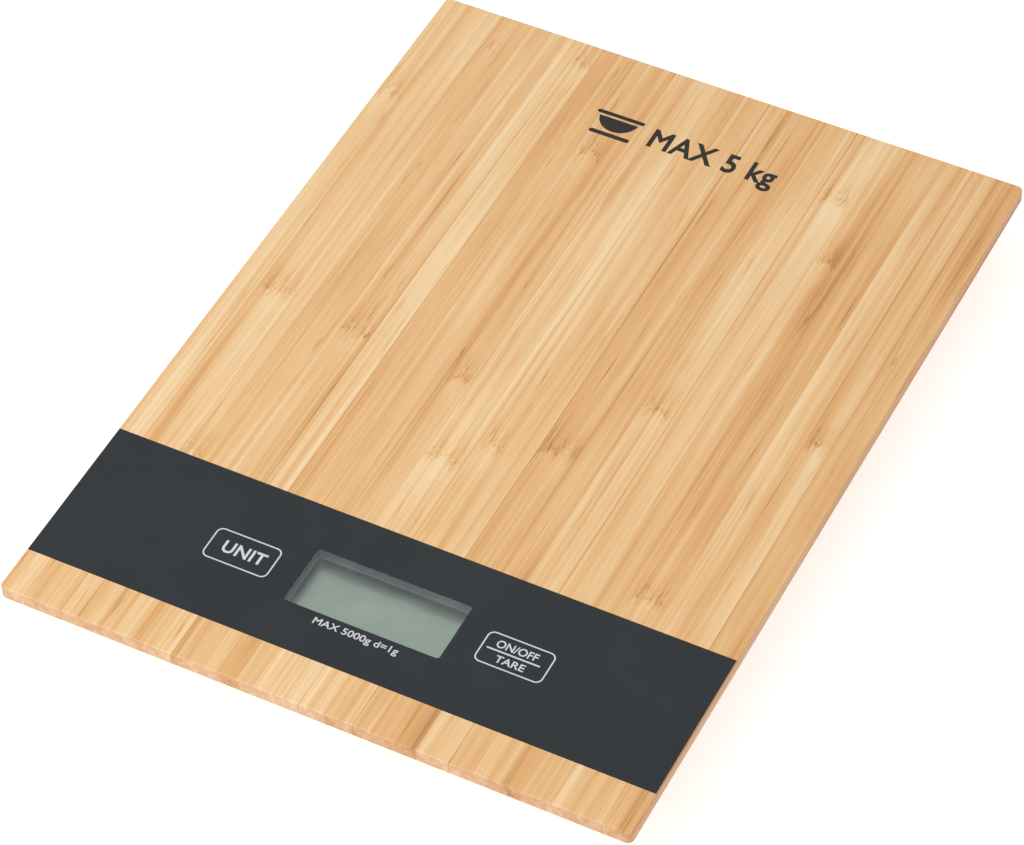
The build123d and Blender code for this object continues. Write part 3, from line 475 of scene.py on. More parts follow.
def metal(name, colour, roughness, line_size, line_depth):
    """A bare or plated metal with drawing lines, changing tone, smudges and hairline scratches."""
    material, tree, inputs = new_material(name, Metallic=1.0)
    place = place_in_mm(tree)
    drawn = use(tree, "drawn_metal", {"Place": place, "Line Size": line_size})
    marks = use(tree, "handling_marks", {"Place": place, "Smudge Size": 7.0})
    edge = use(tree, "edge_rub", {"Place": place, "Normal": put(tree, "TexCoord").outputs["Normal"]})
    toned = tint(tree, remap(tree, drawn["Tone"], 0.35, 0.65), [part * 0.86 for part in colour], colour)
    bright = tint(tree, times(tree, edge["Rub"], 0.5), toned, [min(1.0, part * 1.15) for part in colour])
    tree.links.new(bright, inputs["Base Color"])
    rough = scaled(tree, minus(tree, drawn["Lines"], 0.5), 0.22, roughness)
    tree.links.new(scaled(tree, marks["Smudge"], 0.10, rough), inputs["Roughness"])
    bump(tree, inputs, scaled(tree, marks["Scratch"], -0.6, drawn["Lines"]), line_depth, 0.6)
    return material


def film(settings):
    """The panel's satin black film: fine hard-coat texture, faint smudges and a few dust specks."""
    material, tree, inputs, place, grain, marks = surface("satin_black_film", 0.16, 26.0, IOR=1.49)
    deep = [part * 0.82 for part in settings.film]
    pale = [part * 1.25 for part in settings.film]
    base = tint(tree, remap(tree, grain["Tone"], 0.3, 0.7), deep, pale)
    base = tint(tree, times(tree, marks["Dust"], 0.10), base, (0.35, 0.36, 0.36))
    tree.links.new(base, inputs["Base Color"])
    rough = scaled(tree, marks["Smudge"], 0.07, settings.roughness)
    tree.links.new(scaled(tree, marks["Scratch"], 0.10, rough), inputs["Roughness"])
    bump(tree, inputs, grain["Height"], 0.0035, 0.6)
    return material


def window():
    """The clear hard-coated window: a faint pale veil as painted reflection of the bright surroundings, with
    smudges and dust.
    """
    material, tree, inputs, place, grain, marks = surface("clear_window", 0.5, 12.0, IOR=1.49, Alpha=0.055)
    # Painted reflection: a pale base colour at low alpha lifts everything under the window as its reflection of
    # the white surroundings would; smudges make the veil paler and thicker, dust thicker still.
    tree.links.new(tint(tree, marks["Smudge"], (0.72, 0.78, 0.82), (0.86, 0.90, 0.92)), inputs["Base Color"])
    veil = scaled(tree, marks["Smudge"], 0.012, 0.050)
    tree.links.new(scaled(tree, marks["Dust"], 0.10, veil), inputs["Alpha"])
    tree.links.new(scaled(tree, marks["Smudge"], 0.10, 0.05), inputs["Roughness"])
    bump(tree, inputs, grain["Tone"], 0.002, 0.4)
    return material


def bezel(settings):
    """The frame under the window: matt black, with a painted highlight along its lower inner edge where it meets
    the glass.
    """
    material, tree, inputs, place, grain, marks = surface("bezel_black", 0.3, 9.0, IOR=1.46)
    height = put(tree, "SeparateXYZ", {0: place}).outputs["Z"]
    glass_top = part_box("lcd_polarizer")[1].z / MM
    # Painted highlight: the frame is made lighter from 0.62 mm above the glass downwards, standing in for the
    # lit edge of its lip.
    painted_lip_highlight = times(tree, remap(tree, height, glass_top + 0.62, glass_top + 0.40), 0.6)
    base = tint(tree, painted_lip_highlight, settings.bezel, [min(1.0, part * 2.6) for part in settings.bezel])
    base = tint(tree, remap(tree, grain["Tone"], 0.3, 0.7, 0.0, 0.25), base, (0.06, 0.07, 0.075))
    lay(tree, inputs, base, scaled(tree, marks["Smudge"], 0.08, 0.42), grain["Height"], 0.0015, 0.5)
    return material


def display_face(settings):
    """The unlit display: grey-green with the polariser's satin, fine rows and slight mottling."""
    material, tree, inputs, place, grain, marks = surface("display_grey_green", 0.12, 11.0, Metallic=0.9)
    rows = put(tree, "TexWave", {"Vector": place, "Scale": 1.4, "Distortion": 0.0},
               wave_type="BANDS", bands_direction="Y").outputs["Fac"]
    base = tint(tree, remap(tree, grain["Tone"], 0.3, 0.7), [part * 0.965 for part in settings.display],
                [part * 1.03 for part in settings.display])
    base = tint(tree, times(tree, rows, 0.035), base, [part * 0.7 for part in settings.display])
    lay(tree, inputs, base, scaled(tree, marks["Smudge"], 0.05, 0.29), grain["Height"], 0.0015, 0.5)
    return material


def glass(name, colour, veil, roughness):
    """A clear layer of the display: its tint, its faint veil and smudges."""
    material, tree, inputs, place, grain, marks = surface(name, 0.08, 8.0, IOR=1.52, Alpha=veil)
    lay(tree, inputs, tint(tree, marks["Smudge"], colour, [part * 1.1 for part in colour]),
        scaled(tree, marks["Smudge"], 0.10, roughness), grain["Height"], 0.001, 0.4)
    return material


def ink(name, colour, pinholes):
    """Screen-printed ink: slightly uneven cover with a fine mesh texture and a few pinholes."""
    material, tree, inputs, place, grain, marks = surface(name, 0.09, 20.0, IOR=1.47)
    cover = noise(tree, stretched(tree, place, (0.5, 0.5, 0.5)), 3.0, 0.6)
    thin = tint(tree, remap(tree, cover, 0.60, 0.74, 0.0, pinholes), colour, (0.30, 0.24, 0.17))
    tree.links.new(tint(tree, times(tree, grain["Tone"], 0.16), thin,
                        [part * 0.75 for part in colour]), inputs["Base Color"])
    tree.links.new(scaled(tree, marks["Smudge"], 0.08, 0.46), inputs["Roughness"])
    bump(tree, inputs, grain["Height"], 0.003, 0.6)
    return material


def circuit_board():
    """Green solder mask over rows of copper tracks, with tinned dots."""
    material, tree, inputs = new_material("solder_mask_green", Coat_Weight=0.4, Coat_Roughness=0.15)
    place = place_in_mm(tree)
    grain = use(tree, "moulded_grain", {"Place": place, "Grain Size": 0.5})
    tracks = put(tree, "TexBrick", {"Vector": place, "Scale": 0.5, "Mortar Size": 0.06, "Brick Width": 3.2,
                                    "Row Height": 0.62, "Color1": (0, 0, 0, 1), "Color2": (0, 0, 0, 1),
                                    "Mortar": (1, 1, 1, 1)}, offset=0.37).outputs["Color"]
    track = put(tree, "SeparateColor", {0: tracks}).outputs[0]
    dots = put(tree, "TexVoronoi", {"Vector": place, "Scale": 0.32, "Randomness": 0.8}).outputs["Distance"]
    dot = remap(tree, dots, 0.16, 0.13)
    base = tint(tree, remap(tree, grain["Tone"], 0.3, 0.7), (0.010, 0.085, 0.035), (0.016, 0.125, 0.052))
    base = tint(tree, times(tree, track, 0.55), base, (0.05, 0.24, 0.09))
    tree.links.new(tint(tree, dot, base, (0.62, 0.60, 0.55)), inputs["Base Color"])
    tree.links.new(times(tree, dot, 0.85), inputs["Metallic"])
    tree.links.new(scaled(tree, grain["Height"], 0.12, 0.26), inputs["Roughness"])
    bump(tree, inputs, calc(tree, "MAXIMUM", track, dot), 0.03, 0.7)
    return material


def label_paper():
    """A blank rating label: matt paper with a printed frame and ruled lines."""
    material, tree, inputs = new_material("label_paper")
    place = place_in_mm(tree)
    low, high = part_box("underside_label")
    centre, half = (low + high) / (2 * MM), (high - low) / (2 * MM)
    axes = put(tree, "SeparateXYZ", {0: place}).outputs
    across = size_of(tree, minus(tree, axes["X"], centre.x))
    along = size_of(tree, minus(tree, axes["Y"], centre.y))
    frame_inset, frame_line = 1.8, 0.35
    outside = calc(tree, "MAXIMUM", minus(tree, across, half.x - frame_inset),
                   minus(tree, along, half.y - frame_inset))
    border = remap(tree, size_of(tree, outside), frame_line / 2 + 0.04, frame_line / 2 - 0.04)
    rule_pitch = 6.0
    row = calc(tree, "PINGPONG", minus(tree, axes["Y"], centre.y), rule_pitch / 2)
    ruled = times(tree, remap(tree, row, 0.16, 0.08), remap(tree, outside, -3.2, -3.3))
    fibres = noise(tree, stretched(tree, place, (0.25, 0.9, 0.5)), 4.0, 0.65)
    grain = use(tree, "moulded_grain", {"Place": place, "Grain Size": 0.2})
    marks = use(tree, "handling_marks", {"Place": place, "Smudge Size": 12.0})
    paper = tint(tree, remap(tree, fibres, 0.35, 0.65), (0.72, 0.72, 0.70), (0.82, 0.82, 0.80))
    paper = tint(tree, times(tree, marks["Smudge"], 0.12), paper, (0.55, 0.54, 0.51))
    printed = times(tree, calc(tree, "MAXIMUM", border, ruled), 0.85)
    lay(tree, inputs, tint(tree, printed, paper, (0.10, 0.10, 0.11)),
        scaled(tree, grain["Height"], 0.10, 0.50), fibres, 0.006, 0.6)
    return material


# Moulded plastics and rubbers by slot: name, colour, roughness, grain size and grain depth in millimetres,
# share of bright rub on the edges, and how much a smudge adds to the roughness. The case and the feet take
# their colours from the settings.
PLASTICS = {
    "panel_adhesive": ("panel_adhesive", (0.52, 0.50, 0.44), 0.55, 0.5, 0.01, 0.1, 0.08),
    "zebra_rubber": ("striped_rubber", (0.09, 0.09, 0.095), 0.7, 0.15, 0.01, 0.1, 0.08),
    "chip_epoxy": ("potting_black", (0.012, 0.012, 0.013), 0.22, 1.2, 0.02, 0.3, 0.15),
    "component_ceramic": ("component_tan", (0.38, 0.27, 0.16), 0.4, 0.2, 0.006, 0.3, 0.08),
    "switch_plastic": ("switch_black", (0.022, 0.022, 0.024), 0.42, 0.2, 0.006, 0.3, 0.08),
    "switch_button": ("switch_button_white", (0.74, 0.73, 0.69), 0.36, 0.3, 0.003, 0.3, 0.08),
    "plunger_plastic": ("plunger_grey", (0.22, 0.22, 0.23), 0.45, 0.3, 0.006, 0.3, 0.08),
    "case_plastic": ("case_white", None, 0.46, 0.42, 0.016, 0.3, 0.08),
    "foam_tape": ("foam_tape_grey", (0.48, 0.48, 0.47), 0.85, 0.35, 0.06, 0.1, 0.08),
    "foot_rubber": ("foot_rubber", None, 0.72, 0.22, 0.012, 0.5, 0.08),
    "sealant": ("sealant_white", (0.78, 0.76, 0.70), 0.30, 2.0, 0.05, 0.3, 0.16),
    "wire_red": ("wire_red", (0.50, 0.022, 0.018), 0.36, 0.8, 0.01, 0.1, 0.08),
    "wire_black": ("wire_black", (0.016, 0.016, 0.017), 0.36, 0.8, 0.01, 0.1, 0.08),
    "wire_green": ("wire_green", (0.020, 0.22, 0.050), 0.36, 0.8, 0.01, 0.1, 0.08),
    "wire_white": ("wire_white", (0.76, 0.75, 0.71), 0.36, 0.8, 0.01, 0.1, 0.08),
}
# Bare and plated metals by slot: name, colour, roughness, size and depth of the drawing lines in millimetres.
METALS = {
    "cell_aluminium": ("extruded_aluminium", (0.82, 0.83, 0.85), 0.30, (0.07, 9.0, 0.07), 0.004),
    "spacer_steel": ("zinc_plated_steel", (0.66, 0.67, 0.68), 0.34, (0.5, 0.5, 0.2), 0.004),
    "screw_steel": ("screw_steel", (0.58, 0.58, 0.60), 0.26, (0.4, 0.4, 0.1), 0.004),
    "gauge_foil": ("gauge_foil", (0.84, 0.60, 0.34), 0.32, (0.12, 1.4, 0.4), 0.004),
    "battery_steel": ("battery_steel", (0.78, 0.78, 0.77), 0.22, (0.3, 0.3, 0.3), 0.003),
    "contact_nickel": ("contact_nickel", (0.72, 0.69, 0.63), 0.28, (0.08, 2.0, 0.2), 0.004),
}
MATERIALS = {}


def make_finish(slot):
    """Builds the material for one of the record's slots, or for an ink."""
    scene = bpy.context.scene
    board, panel, case, prints = scene.scale_board, scene.scale_panel, scene.scale_case, scene.scale_prints
    if slot in METALS:
        return metal(*METALS[slot])
    if slot in PLASTICS:
        name, colour, *rest = PLASTICS[slot]
        chosen = {"case_plastic": case.plastic, "foot_rubber": case.rubber}.get(slot, colour)
        return plastic(name, tuple(chosen), *rest)
    makers = {
        "bamboo": lambda: bamboo(board),
        "panel_film": lambda: film(panel),
        "clear_window": window,
        "bezel_plastic": lambda: bezel(panel),
        "lcd_glass": lambda: glass("display_glass", (0.20, 0.25, 0.22), 0.06, 0.12),
        "lcd_reflector": lambda: display_face(panel),
        "circuit_board": circuit_board,
        "label_paper": label_paper,
        "white_ink": lambda: ink("white_print", tuple(prints.white_ink), 0.10),
        "dark_ink": lambda: ink("dark_print", tuple(prints.dark_ink), 0.12),
    }
    return makers[slot]()


def finish(slot):
    """The material for a slot, made the first time it is asked for."""
    if slot not in MATERIALS:
        MATERIALS[slot] = make_finish(slot)
    return MATERIALS[slot]


# ---- Working on pieces ----


def only(piece):
    """Selects one piece and nothing else, in object mode."""
    if bpy.context.mode != "OBJECT":
        bpy.ops.object.mode_set(mode="OBJECT")
    bpy.ops.object.select_all(action="DESELECT")
    if piece is not None:
        piece.select_set(True)
        bpy.context.view_layer.objects.active = piece


def settle(piece):
    """Puts a piece's place, turn and size into its mesh."""
    only(piece)
    bpy.ops.object.transform_apply(location=True, rotation=True, scale=True)


def pick_faces(piece, wanted):
    """Selects the faces that a test accepts, and leaves the piece in edit mode for the next operator."""
    bpy.ops.object.mode_set(mode="EDIT")
    bpy.ops.mesh.select_mode(type="FACE")
    bpy.ops.mesh.select_all(action="DESELECT")
    bpy.ops.object.mode_set(mode="OBJECT")
    found = [face for face in piece.data.polygons if wanted(face)]
    if not found:
        raise RuntimeError(f"no face of {piece.name} was found to work on")
    for face in found:
        face.select = True
    bpy.ops.object.mode_set(mode="EDIT")


def pick_edges(piece, wanted):
    """Selects the edges whose two ends a test accepts, and leaves the piece in edit mode."""
    bpy.ops.object.mode_set(mode="EDIT")
    bpy.ops.mesh.select_mode(type="EDGE")
    bpy.ops.mesh.select_all(action="DESELECT")
    bpy.ops.object.mode_set(mode="OBJECT")
    points = piece.data.vertices
    found = [edge for edge in piece.data.edges if all(wanted(points[end].co) for end in edge.vertices)]
    if not found:
        raise RuntimeError(f"no edge of {piece.name} was found to work on")
    for edge in found:
        edge.select = True
    bpy.ops.object.mode_set(mode="EDIT")


def lift(rise):
    """Extrudes the selected faces straight up, or down by a negative rise."""
    bpy.ops.mesh.extrude_region_move(TRANSFORM_OT_translate={"value": (0.0, 0.0, rise)})


def close_up(piece, doubles=0.001 * MM):
    """Merges doubled points and turns every face outwards."""
    only(piece)
    bpy.ops.object.mode_set(mode="EDIT")
    bpy.ops.mesh.select_all(action="SELECT")
    bpy.ops.mesh.remove_doubles(threshold=doubles)
    bpy.ops.mesh.normals_make_consistent(inside=False)
    bpy.ops.object.mode_set(mode="OBJECT")


def ease(piece, width, segments=2, degrees=40.0, smooth_degrees=35.0):
    """Rounds the sharp edges of a piece by a small bevel and smooths what curves."""
    only(piece)
    if width:
        bevel = piece.modifiers.new("eased_edges", "BEVEL")
        bevel.width = width
        bevel.segments = segments
        bevel.limit_method = "ANGLE"
        bevel.angle_limit = math.radians(degrees)
        bpy.ops.object.modifier_apply(modifier=bevel.name)
    bpy.ops.object.shade_smooth_by_angle(angle=math.radians(smooth_degrees))


def hand_over(piece, name, body, finish_name, stands_for=()):
    """Names a finished piece, gives it its finish and hangs it on its body."""
    settle(piece)
    piece.name = piece.data.name = name
    piece.data.materials.clear()
    piece.data.materials.append(finish(finish_name))
    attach(piece, body)
    if stands_for:
        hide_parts(*stands_for)


def refined(node, name, body, slot, easing=0.0, segments=2):
    """A part's own shape with its doubles merged, its flats made whole and its edges eased."""
    piece = bpy.data.objects.new(name, NODES[node].data.copy())
    bpy.context.scene.collection.objects.link(piece)
    only(piece)
    if piece.data.has_custom_normals:
        bpy.ops.mesh.customdata_custom_splitnormals_clear()
    bpy.ops.object.mode_set(mode="EDIT")
    bpy.ops.mesh.select_all(action="SELECT")
    bpy.ops.mesh.remove_doubles(threshold=0.001 * MM)
    bpy.ops.mesh.dissolve_limited(angle_limit=math.radians(0.6))
    bpy.ops.object.mode_set(mode="OBJECT")
    ease(piece, easing, segments)
    hand_over(piece, name, body, slot, (node,))
    return piece


def coat(node, slot):
    """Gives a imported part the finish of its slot."""
    mesh = NODES[node].data
    mesh.materials.clear()
    mesh.materials.append(finish(slot))


def raise_print(piece):
    """Makes a flat print as thick as its ink, half of it sunk in the surface."""
    height = bpy.context.scene.scale_prints.ink_height
    bpy.ops.mesh.select_all(action="SELECT")
    lift(2 * height)
    bpy.ops.object.mode_set(mode="OBJECT")
    close_up(piece, 0.0005 * MM)


def lettering(words, name, body, finish_name, start, box, weight, spacing=1.0):
    """Printed words that fill a box: its left, right, lower and upper side in millimetres from a start.

    The weight is how far the strokes swell at the surface, as a share of the letters' size.
    """
    left, right = start[0] + box[0] * MM, start[0] + box[1] * MM
    base, top = start[1] + box[2] * MM, start[1] + box[3] * MM
    height = bpy.context.scene.scale_prints.ink_height
    only(None)
    bpy.ops.object.text_add(location=(0.0, 0.0, 0.0))
    text = bpy.context.object
    text.data.body = words
    text.data.bevel_depth = weight
    text.data.bevel_resolution = 0
    text.data.space_character = spacing
    text.data.resolution_u = 6
    bpy.ops.object.convert(target="MESH")
    piece = bpy.context.object
    lows = [min(point.co[axis] for point in piece.data.vertices) for axis in (0, 1)]
    highs = [max(point.co[axis] for point in piece.data.vertices) for axis in (0, 1)]
    wide = (right - left) / (highs[0] - lows[0])
    tall = (top - base) / (highs[1] - lows[1])
    piece.scale = (wide, tall, height / weight)
    piece.location = (left - lows[0] * wide, base - lows[1] * tall, BOARD_HIGH.z)
    settle(piece)
    close_up(piece, 0.0005 * MM)
    hand_over(piece, name, body, finish_name)
    return piece


def flat_start(centre_x, centre_y, wide, deep):
    """A flat rectangle at the ink's underside, in edit mode."""
    height = bpy.context.scene.scale_prints.ink_height
    only(None)
    bpy.ops.mesh.primitive_plane_add(size=1.0, location=(centre_x, centre_y, BOARD_HIGH.z - height))
    piece = bpy.context.object
    piece.scale = (wide, deep, 1.0)
    settle(piece)
    bpy.ops.object.mode_set(mode="EDIT")
    bpy.ops.mesh.select_all(action="SELECT")
    return piece


def rounded_bar(name, body, finish_name, centre_x, centre_y, wide, deep):
    """A printed line with round ends."""
    piece = flat_start(centre_x, centre_y, wide, deep)
    bpy.ops.mesh.bevel(offset=min(wide, deep) * 0.48, segments=6, affect="VERTICES")
    raise_print(piece)
    hand_over(piece, name, body, finish_name)
    return piece


# ---- Pieces ----


class SCALE_OT_board(bpy.types.Operator):
    """Finishes the bamboo board that everything is weighed on"""
    bl_idname = "scale.board"
    bl_label = "Bamboo board"

    def execute(self, context):
        refined("bamboo_board", "weighing_board", "platform", "bamboo")
        return {"FINISHED"}


class SCALE_OT_board_mark(bpy.types.Operator):
    """Prints a plain bowl sign and the largest load at the back of the board"""
    bl_idname = "scale.board_mark"
    bl_label = "Print on the board"

    def execute(self, context):
        height = context.scene.scale_prints.ink_height
        sign_x, base_y, radius = -20.0 * MM, 81.6 * MM, 5.4 * MM
        rim_y = base_y + 7.4 * MM
        only(None)
        bpy.ops.mesh.primitive_circle_add(vertices=64, radius=radius, fill_type="NGON",
                                          location=(sign_x, rim_y, BOARD_HIGH.z - height))
        bowl = context.object
        settle(bowl)
        bpy.ops.object.mode_set(mode="EDIT")
        bpy.ops.mesh.select_all(action="SELECT")
        bpy.ops.mesh.bisect(plane_co=(sign_x, rim_y - 0.9 * MM, 0.0), plane_no=(0.0, 1.0, 0.0),
                            clear_outer=True, use_fill=False)
        raise_print(bowl)
        hand_over(bowl, "bowl_sign", "platform", "dark_ink")
        rounded_bar("bowl_rim_sign", "platform", "dark_ink", sign_x, rim_y + 0.35 * MM, 13.0 * MM, 1.2 * MM)
        rounded_bar("bowl_plate_sign", "platform", "dark_ink", sign_x, base_y + 0.6 * MM, 11.0 * MM, 1.3 * MM)
        lettering("MAX 5 kg", "load_print", "platform", "dark_ink", (0.0, base_y), (-10.2, 24.0, -0.8, 7.9),
                  weight=0.026, spacing=1.06)
        return {"FINISHED"}


class SCALE_OT_panel(bpy.types.Operator):
    """Finishes the panel film, its adhesive and the two key pads"""
    bl_idname = "scale.panel"
    bl_label = "Control panel"

    def execute(self, context):
        refined("control_panel", "panel_film", "platform", "panel_film")
        refined("unit_key_pad", "unit_key_face", "unit_key", "panel_film")
        refined("tare_key_pad", "tare_key_face", "tare_key", "panel_film")
        coat("panel_adhesive", "panel_adhesive")
        return {"FINISHED"}


class SCALE_OT_legends(bpy.types.Operator):
    """Prints the key outlines, the keys' plain words and the range under the window"""
    bl_idname = "scale.legends"
    bl_label = "Panel print"

    def outline(self, name, centre):
        prints = bpy.context.scene.scale_prints
        piece = flat_start(centre.x, centre.y, prints.outline_width, prints.outline_depth)
        bpy.ops.mesh.bevel(offset=prints.outline_radius, segments=8, affect="VERTICES")
        bpy.ops.mesh.select_all(action="SELECT")
        bpy.ops.mesh.inset(thickness=prints.outline_line, depth=0.0)
        bpy.ops.mesh.delete(type="FACE")
        raise_print(piece)
        hand_over(piece, name, "platform", "white_ink")

    def execute(self, context):
        unit_key, tare_key = (UNIT_LOW + UNIT_HIGH) / 2, (TARE_LOW + TARE_HIGH) / 2
        window_front = ((WINDOW_LOW.x + WINDOW_HIGH.x) / 2, WINDOW_LOW.y)
        self.outline("unit_key_outline", unit_key)
        self.outline("tare_key_outline", tare_key)
        lettering("UNIT", "unit_word", "unit_key", "white_ink", unit_key, (-4.95, 6.1, -1.75, 1.85),
                  weight=0.026, spacing=1.04)
        for words, name, box in (("ON/OFF", "switch_word", (-5.45, 4.9, 0.75, 3.0)),
                                 ("TARE", "tare_word", (-3.85, 3.5, -3.2, -1.15))):
            lettering(words, name, "tare_key", "white_ink", tare_key, box, weight=0.020)
        rounded_bar("tare_key_divider", "tare_key", "white_ink",
                    tare_key.x - 0.4 * MM, tare_key.y - 0.10 * MM, 13.4 * MM, 0.42 * MM)
        lettering("MAX 5000g d=1g", "range_print", "platform", "white_ink", window_front,
                  (-10.7, 10.9, -3.85, -1.3), weight=0.016)
        return {"FINISHED"}


class SCALE_OT_display(bpy.types.Operator):
    """Finishes the window, the frame under it and the layers of the display"""
    bl_idname = "scale.display"
    bl_label = "Display"

    def cell(self):
        """The two glasses and the polariser as one clear stack, stepped as they are."""
        low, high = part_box("lcd_front_glass")
        rear_low, rear_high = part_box("lcd_rear_glass")
        sheet_low, sheet_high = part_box("lcd_polarizer")
        only(None)
        bpy.ops.mesh.primitive_cube_add(size=1.0, location=(low + high) / 2)
        piece = bpy.context.object
        piece.scale = high - low
        settle(piece)
        ledge_y = rear_low.y if rear_low.y > low.y + 0.1 * MM else rear_high.y
        rear_middle, reach = (rear_low.y + rear_high.y) / 2, (rear_high.y - rear_low.y) / 2
        bpy.ops.object.mode_set(mode="EDIT")
        bpy.ops.mesh.select_all(action="SELECT")
        bpy.ops.mesh.bisect(plane_co=(0.0, ledge_y, 0.0), plane_no=(0.0, 1.0, 0.0))
        bpy.ops.object.mode_set(mode="OBJECT")
        pick_faces(piece, lambda face: face.normal.z < -0.9 and abs(face.center.y - rear_middle) < reach)
        lift(rear_low.z - low.z)
        bpy.ops.object.mode_set(mode="OBJECT")
        pick_faces(piece, lambda face: face.normal.z > 0.9 and abs(face.center.y - rear_middle) < reach)
        bpy.ops.mesh.inset(thickness=sheet_low.x - low.x, depth=0.0)
        lift(sheet_high.z - sheet_low.z)
        close_up(piece)
        ease(piece, 0.03 * MM)
        hand_over(piece, "display_cell", "platform", "lcd_glass",
                  ("lcd_polarizer", "lcd_front_glass", "lcd_rear_glass"))

    def execute(self, context):
        coat("display_window", "clear_window")
        refined("lcd_bezel", "display_frame", "platform", "bezel_plastic", 0.06 * MM)
        self.cell()
        coat("lcd_reflector", "lcd_reflector")
        coat("zebra_connector", "zebra_rubber")
        return {"FINISHED"}


class SCALE_OT_case(bpy.types.Operator):
    """Finishes the two halves of the case, its tape and its label"""
    bl_idname = "scale.case"
    bl_label = "Case"

    def execute(self, context):
        refined("base_shell", "case_base", "base", "case_plastic", 0.18 * MM)
        refined("platform_carrier", "case_carrier", "platform", "case_plastic", 0.18 * MM)
        coat("mounting_tape", "foam_tape")
        coat("underside_label", "label_paper")
        return {"FINISHED"}


class SCALE_OT_feet(bpy.types.Operator):
    """Models one ringed rubber foot and sets a copy in each recess of the case"""
    bl_idname = "scale.feet"
    bl_label = "Feet"

    def execute(self, context):
        names = ("foot_front_left", "foot_front_right", "foot_rear_left", "foot_rear_right")
        low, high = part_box(names[0])
        radius, height, centre = (high.x - low.x) / 2, high.z - low.z, (low + high) / 2
        only(None)
        bpy.ops.mesh.primitive_cylinder_add(vertices=72, radius=radius, depth=height, location=centre)
        foot = context.object
        settle(foot)
        pick_faces(foot, lambda face: face.normal.z < -0.9)
        # The rings on the sole: how far each is set in and how far it rises, in millimetres.
        for inset, rise in ((1.5, 0.30), (0.8, -0.24), (0.8, 0.24), (0.8, -0.20)):
            bpy.ops.mesh.inset(thickness=inset * MM, depth=0.0)
            lift(rise * MM)
        pick_edges(foot, lambda point: point.z < low.z + 0.01 * MM
                   and (point - centre).to_2d().length > radius - 0.01 * MM)
        bpy.ops.mesh.bevel(offset=0.7 * MM, segments=5, affect="EDGES")
        close_up(foot)
        ease(foot, 0.08 * MM)
        feet = [foot]
        for name in names[1:]:
            low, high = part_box(name)
            piece = foot.copy()
            piece.data = foot.data.copy()
            context.scene.collection.objects.link(piece)
            piece.location = (low + high) / 2 - centre
            settle(piece)
            feet.append(piece)
        for name, piece in zip(names, feet):
            hand_over(piece, "rubber_" + name, "base", "foot_rubber", (name,))
        return {"FINISHED"}


class SCALE_OT_battery(bpy.types.Operator):
    """Finishes the coin door, the coin cell and its two contacts"""
    bl_idname = "scale.battery"
    bl_label = "Battery"

    def execute(self, context):
        refined("battery_door", "coin_door", "battery_door", "case_plastic", 0.15 * MM)
        refined("coin_cell", "coin_battery", "base", "battery_steel", 0.12 * MM)
        coat("battery_contact_negative", "contact_nickel")
        coat("battery_contact_positive", "contact_nickel")
        return {"FINISHED"}


class SCALE_OT_load_cell(bpy.types.Operator):
    """Finishes the load cell with its gauges, spacers and screws"""
    bl_idname = "scale.load_cell"
    bl_label = "Load cell"

    def execute(self, context):
        refined("load_cell", "bending_beam", "base", "cell_aluminium")
        refined("base_cell_screws", "beam_screws", "base", "screw_steel", 0.06 * MM)
        for node, slot in (("strain_gauges", "gauge_foil"), ("gauge_sealant", "sealant"),
                           ("lower_spacer", "spacer_steel"), ("upper_spacer", "spacer_steel"),
                           ("carrier_cell_screws", "screw_steel")):
            coat(node, slot)
        return {"FINISHED"}


class SCALE_OT_electronics(bpy.types.Operator):
    """Finishes the circuit board, its parts, the two switches and their plungers"""
    bl_idname = "scale.electronics"
    bl_label = "Electronics"

    def execute(self, context):
        for node, slot in (("main_board", "circuit_board"), ("chip_blob", "chip_epoxy"),
                           ("surface_components", "component_ceramic"), ("pcb_screws", "screw_steel"),
                           ("unit_switch", "switch_plastic"), ("tare_switch", "switch_plastic"),
                           ("unit_switch_button", "switch_button"), ("tare_switch_button", "switch_button"),
                           ("unit_key_plunger", "plunger_plastic"), ("tare_key_plunger", "plunger_plastic")):
            coat(node, slot)
        return {"FINISHED"}


class SCALE_OT_wires(bpy.types.Operator):
    """Finishes the insulated wires inside the case"""
    bl_idname = "scale.wires"
    bl_label = "Wires"

    def execute(self, context):
        for name in ("battery_wire_red", "battery_wire_black", "load_cell_wire_red", "load_cell_wire_black",
                     "load_cell_wire_green", "load_cell_wire_white"):
            coat(name, "wire_" + name.rsplit("_", 1)[1])
        return {"FINISHED"}


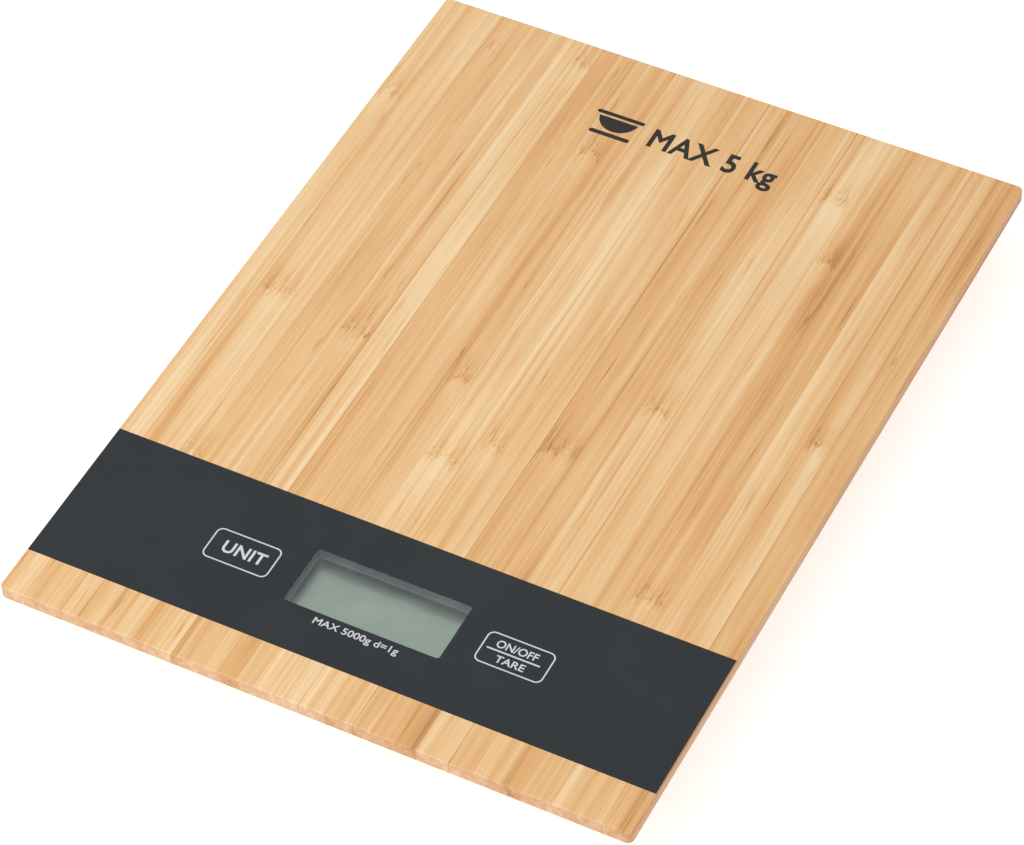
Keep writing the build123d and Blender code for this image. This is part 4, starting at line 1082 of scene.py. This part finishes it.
class SCALE_OT_studio(bpy.types.Operator):
    """Sets the pale floor, the soft lights and the camera"""
    bl_idname = "scale.studio"
    bl_label = "Studio"

    def soft_light(self, name, place, power, size):
        bpy.ops.object.light_add(type="AREA", location=place)
        light = bpy.context.object
        light.name = name
        light.data.shape = "DISK"
        light.data.size = size
        light.data.energy = power
        light.rotation_euler = Vector(place).to_track_quat("Z", "Y").to_euler()

    def execute(self, context):
        studio = context.scene.scale_studio
        only(None)
        bpy.ops.mesh.primitive_plane_add(size=8.0, location=(0.0, 0.0, -0.02 * MM))
        floor = context.object
        floor.name = "floor"
        white = (1.0, 1.0, 1.0, 1.0)
        material, tree, inputs = new_material("pale_floor", Roughness=0.8, Emission_Color=white,
                                              Emission_Strength=studio.floor_glow)
        place = place_in_mm(tree)
        grain = use(tree, "moulded_grain", {"Place": place, "Grain Size": 1.5})
        tree.links.new(tint(tree, grain["Tone"], studio.floor, [part * 0.985 for part in studio.floor]),
                       inputs["Base Color"])
        floor.data.materials.append(material)

        world = bpy.data.worlds.new("even_white")
        world.use_nodes = True
        background = world.node_tree.nodes["Background"].inputs
        background["Color"].default_value, background["Strength"].default_value = white, studio.sky
        context.scene.world = world
        self.soft_light("key_light", (-0.50, -0.62, 0.76), studio.key, 0.9)
        self.soft_light("fill_light", (-0.25, -1.6, 0.60), studio.fill, 1.2)

        back = Vector((math.sin(studio.azimuth) * math.cos(studio.elevation),
                       -math.cos(studio.azimuth) * math.cos(studio.elevation), math.sin(studio.elevation)))
        level_right = (-back).cross(Vector((0.0, 0.0, 1.0))).normalized()
        level_up = level_right.cross(-back)
        right = level_right * math.cos(studio.roll) + level_up * math.sin(studio.roll)
        up = level_up * math.cos(studio.roll) - level_right * math.sin(studio.roll)
        aim = Vector((studio.aim_x, studio.aim_y, studio.aim_z))
        turn = Matrix((right, up, back)).transposed().to_euler()
        bpy.ops.object.camera_add(location=aim + back * studio.distance, rotation=turn)
        camera = context.object
        camera.name = "camera"
        camera.data.lens = studio.lens
        camera.data.sensor_width = 36.0
        camera.data.clip_start, camera.data.clip_end = 0.01, 20.0
        context.scene.camera = camera
        context.scene.view_settings.view_transform = "Standard"
        return {"FINISHED"}


class SCALE_PT_sidebar(bpy.types.Panel):
    """Lists the steps that finish the kitchen scale"""
    bl_idname = "SCALE_PT_sidebar"
    bl_label = "Kitchen scale"
    bl_space_type = "VIEW_3D"
    bl_region_type = "UI"
    bl_category = "Kitchen scale"

    def draw(self, context):
        for settings in SETTINGS:
            group = getattr(context.scene, settings)
            box = self.layout.box()
            for name in group.bl_rna.properties.keys():
                if name not in {"rna_type", "name"}:
                    box.prop(group, name)
        for operator in OPERATORS:
            self.layout.operator(operator.bl_idname)


SETTINGS = {
    "scale_board": BoardSettings,
    "scale_prints": PrintSettings,
    "scale_panel": PanelSettings,
    "scale_case": CaseSettings,
    "scale_studio": StudioSettings,
}
OPERATORS = (SCALE_OT_studio, SCALE_OT_board, SCALE_OT_board_mark, SCALE_OT_panel, SCALE_OT_legends,
             SCALE_OT_display, SCALE_OT_case, SCALE_OT_feet, SCALE_OT_battery, SCALE_OT_load_cell,
             SCALE_OT_electronics, SCALE_OT_wires)


def register():
    for made in (*SETTINGS.values(), *OPERATORS, SCALE_PT_sidebar):
        bpy.utils.register_class(made)
    for name, settings in SETTINGS.items():
        setattr(bpy.types.Scene, name, PointerProperty(type=settings))


def unregister():
    for name in SETTINGS:
        delattr(bpy.types.Scene, name)
    for made in reversed((*SETTINGS.values(), *OPERATORS, SCALE_PT_sidebar)):
        bpy.utils.unregister_class(made)


def main():
    register()
    for operator in OPERATORS:
        family, name = operator.bl_idname.split(".")
        getattr(getattr(bpy.ops, family), name)()
    only(None)


if __name__ == "__main__":
    main()
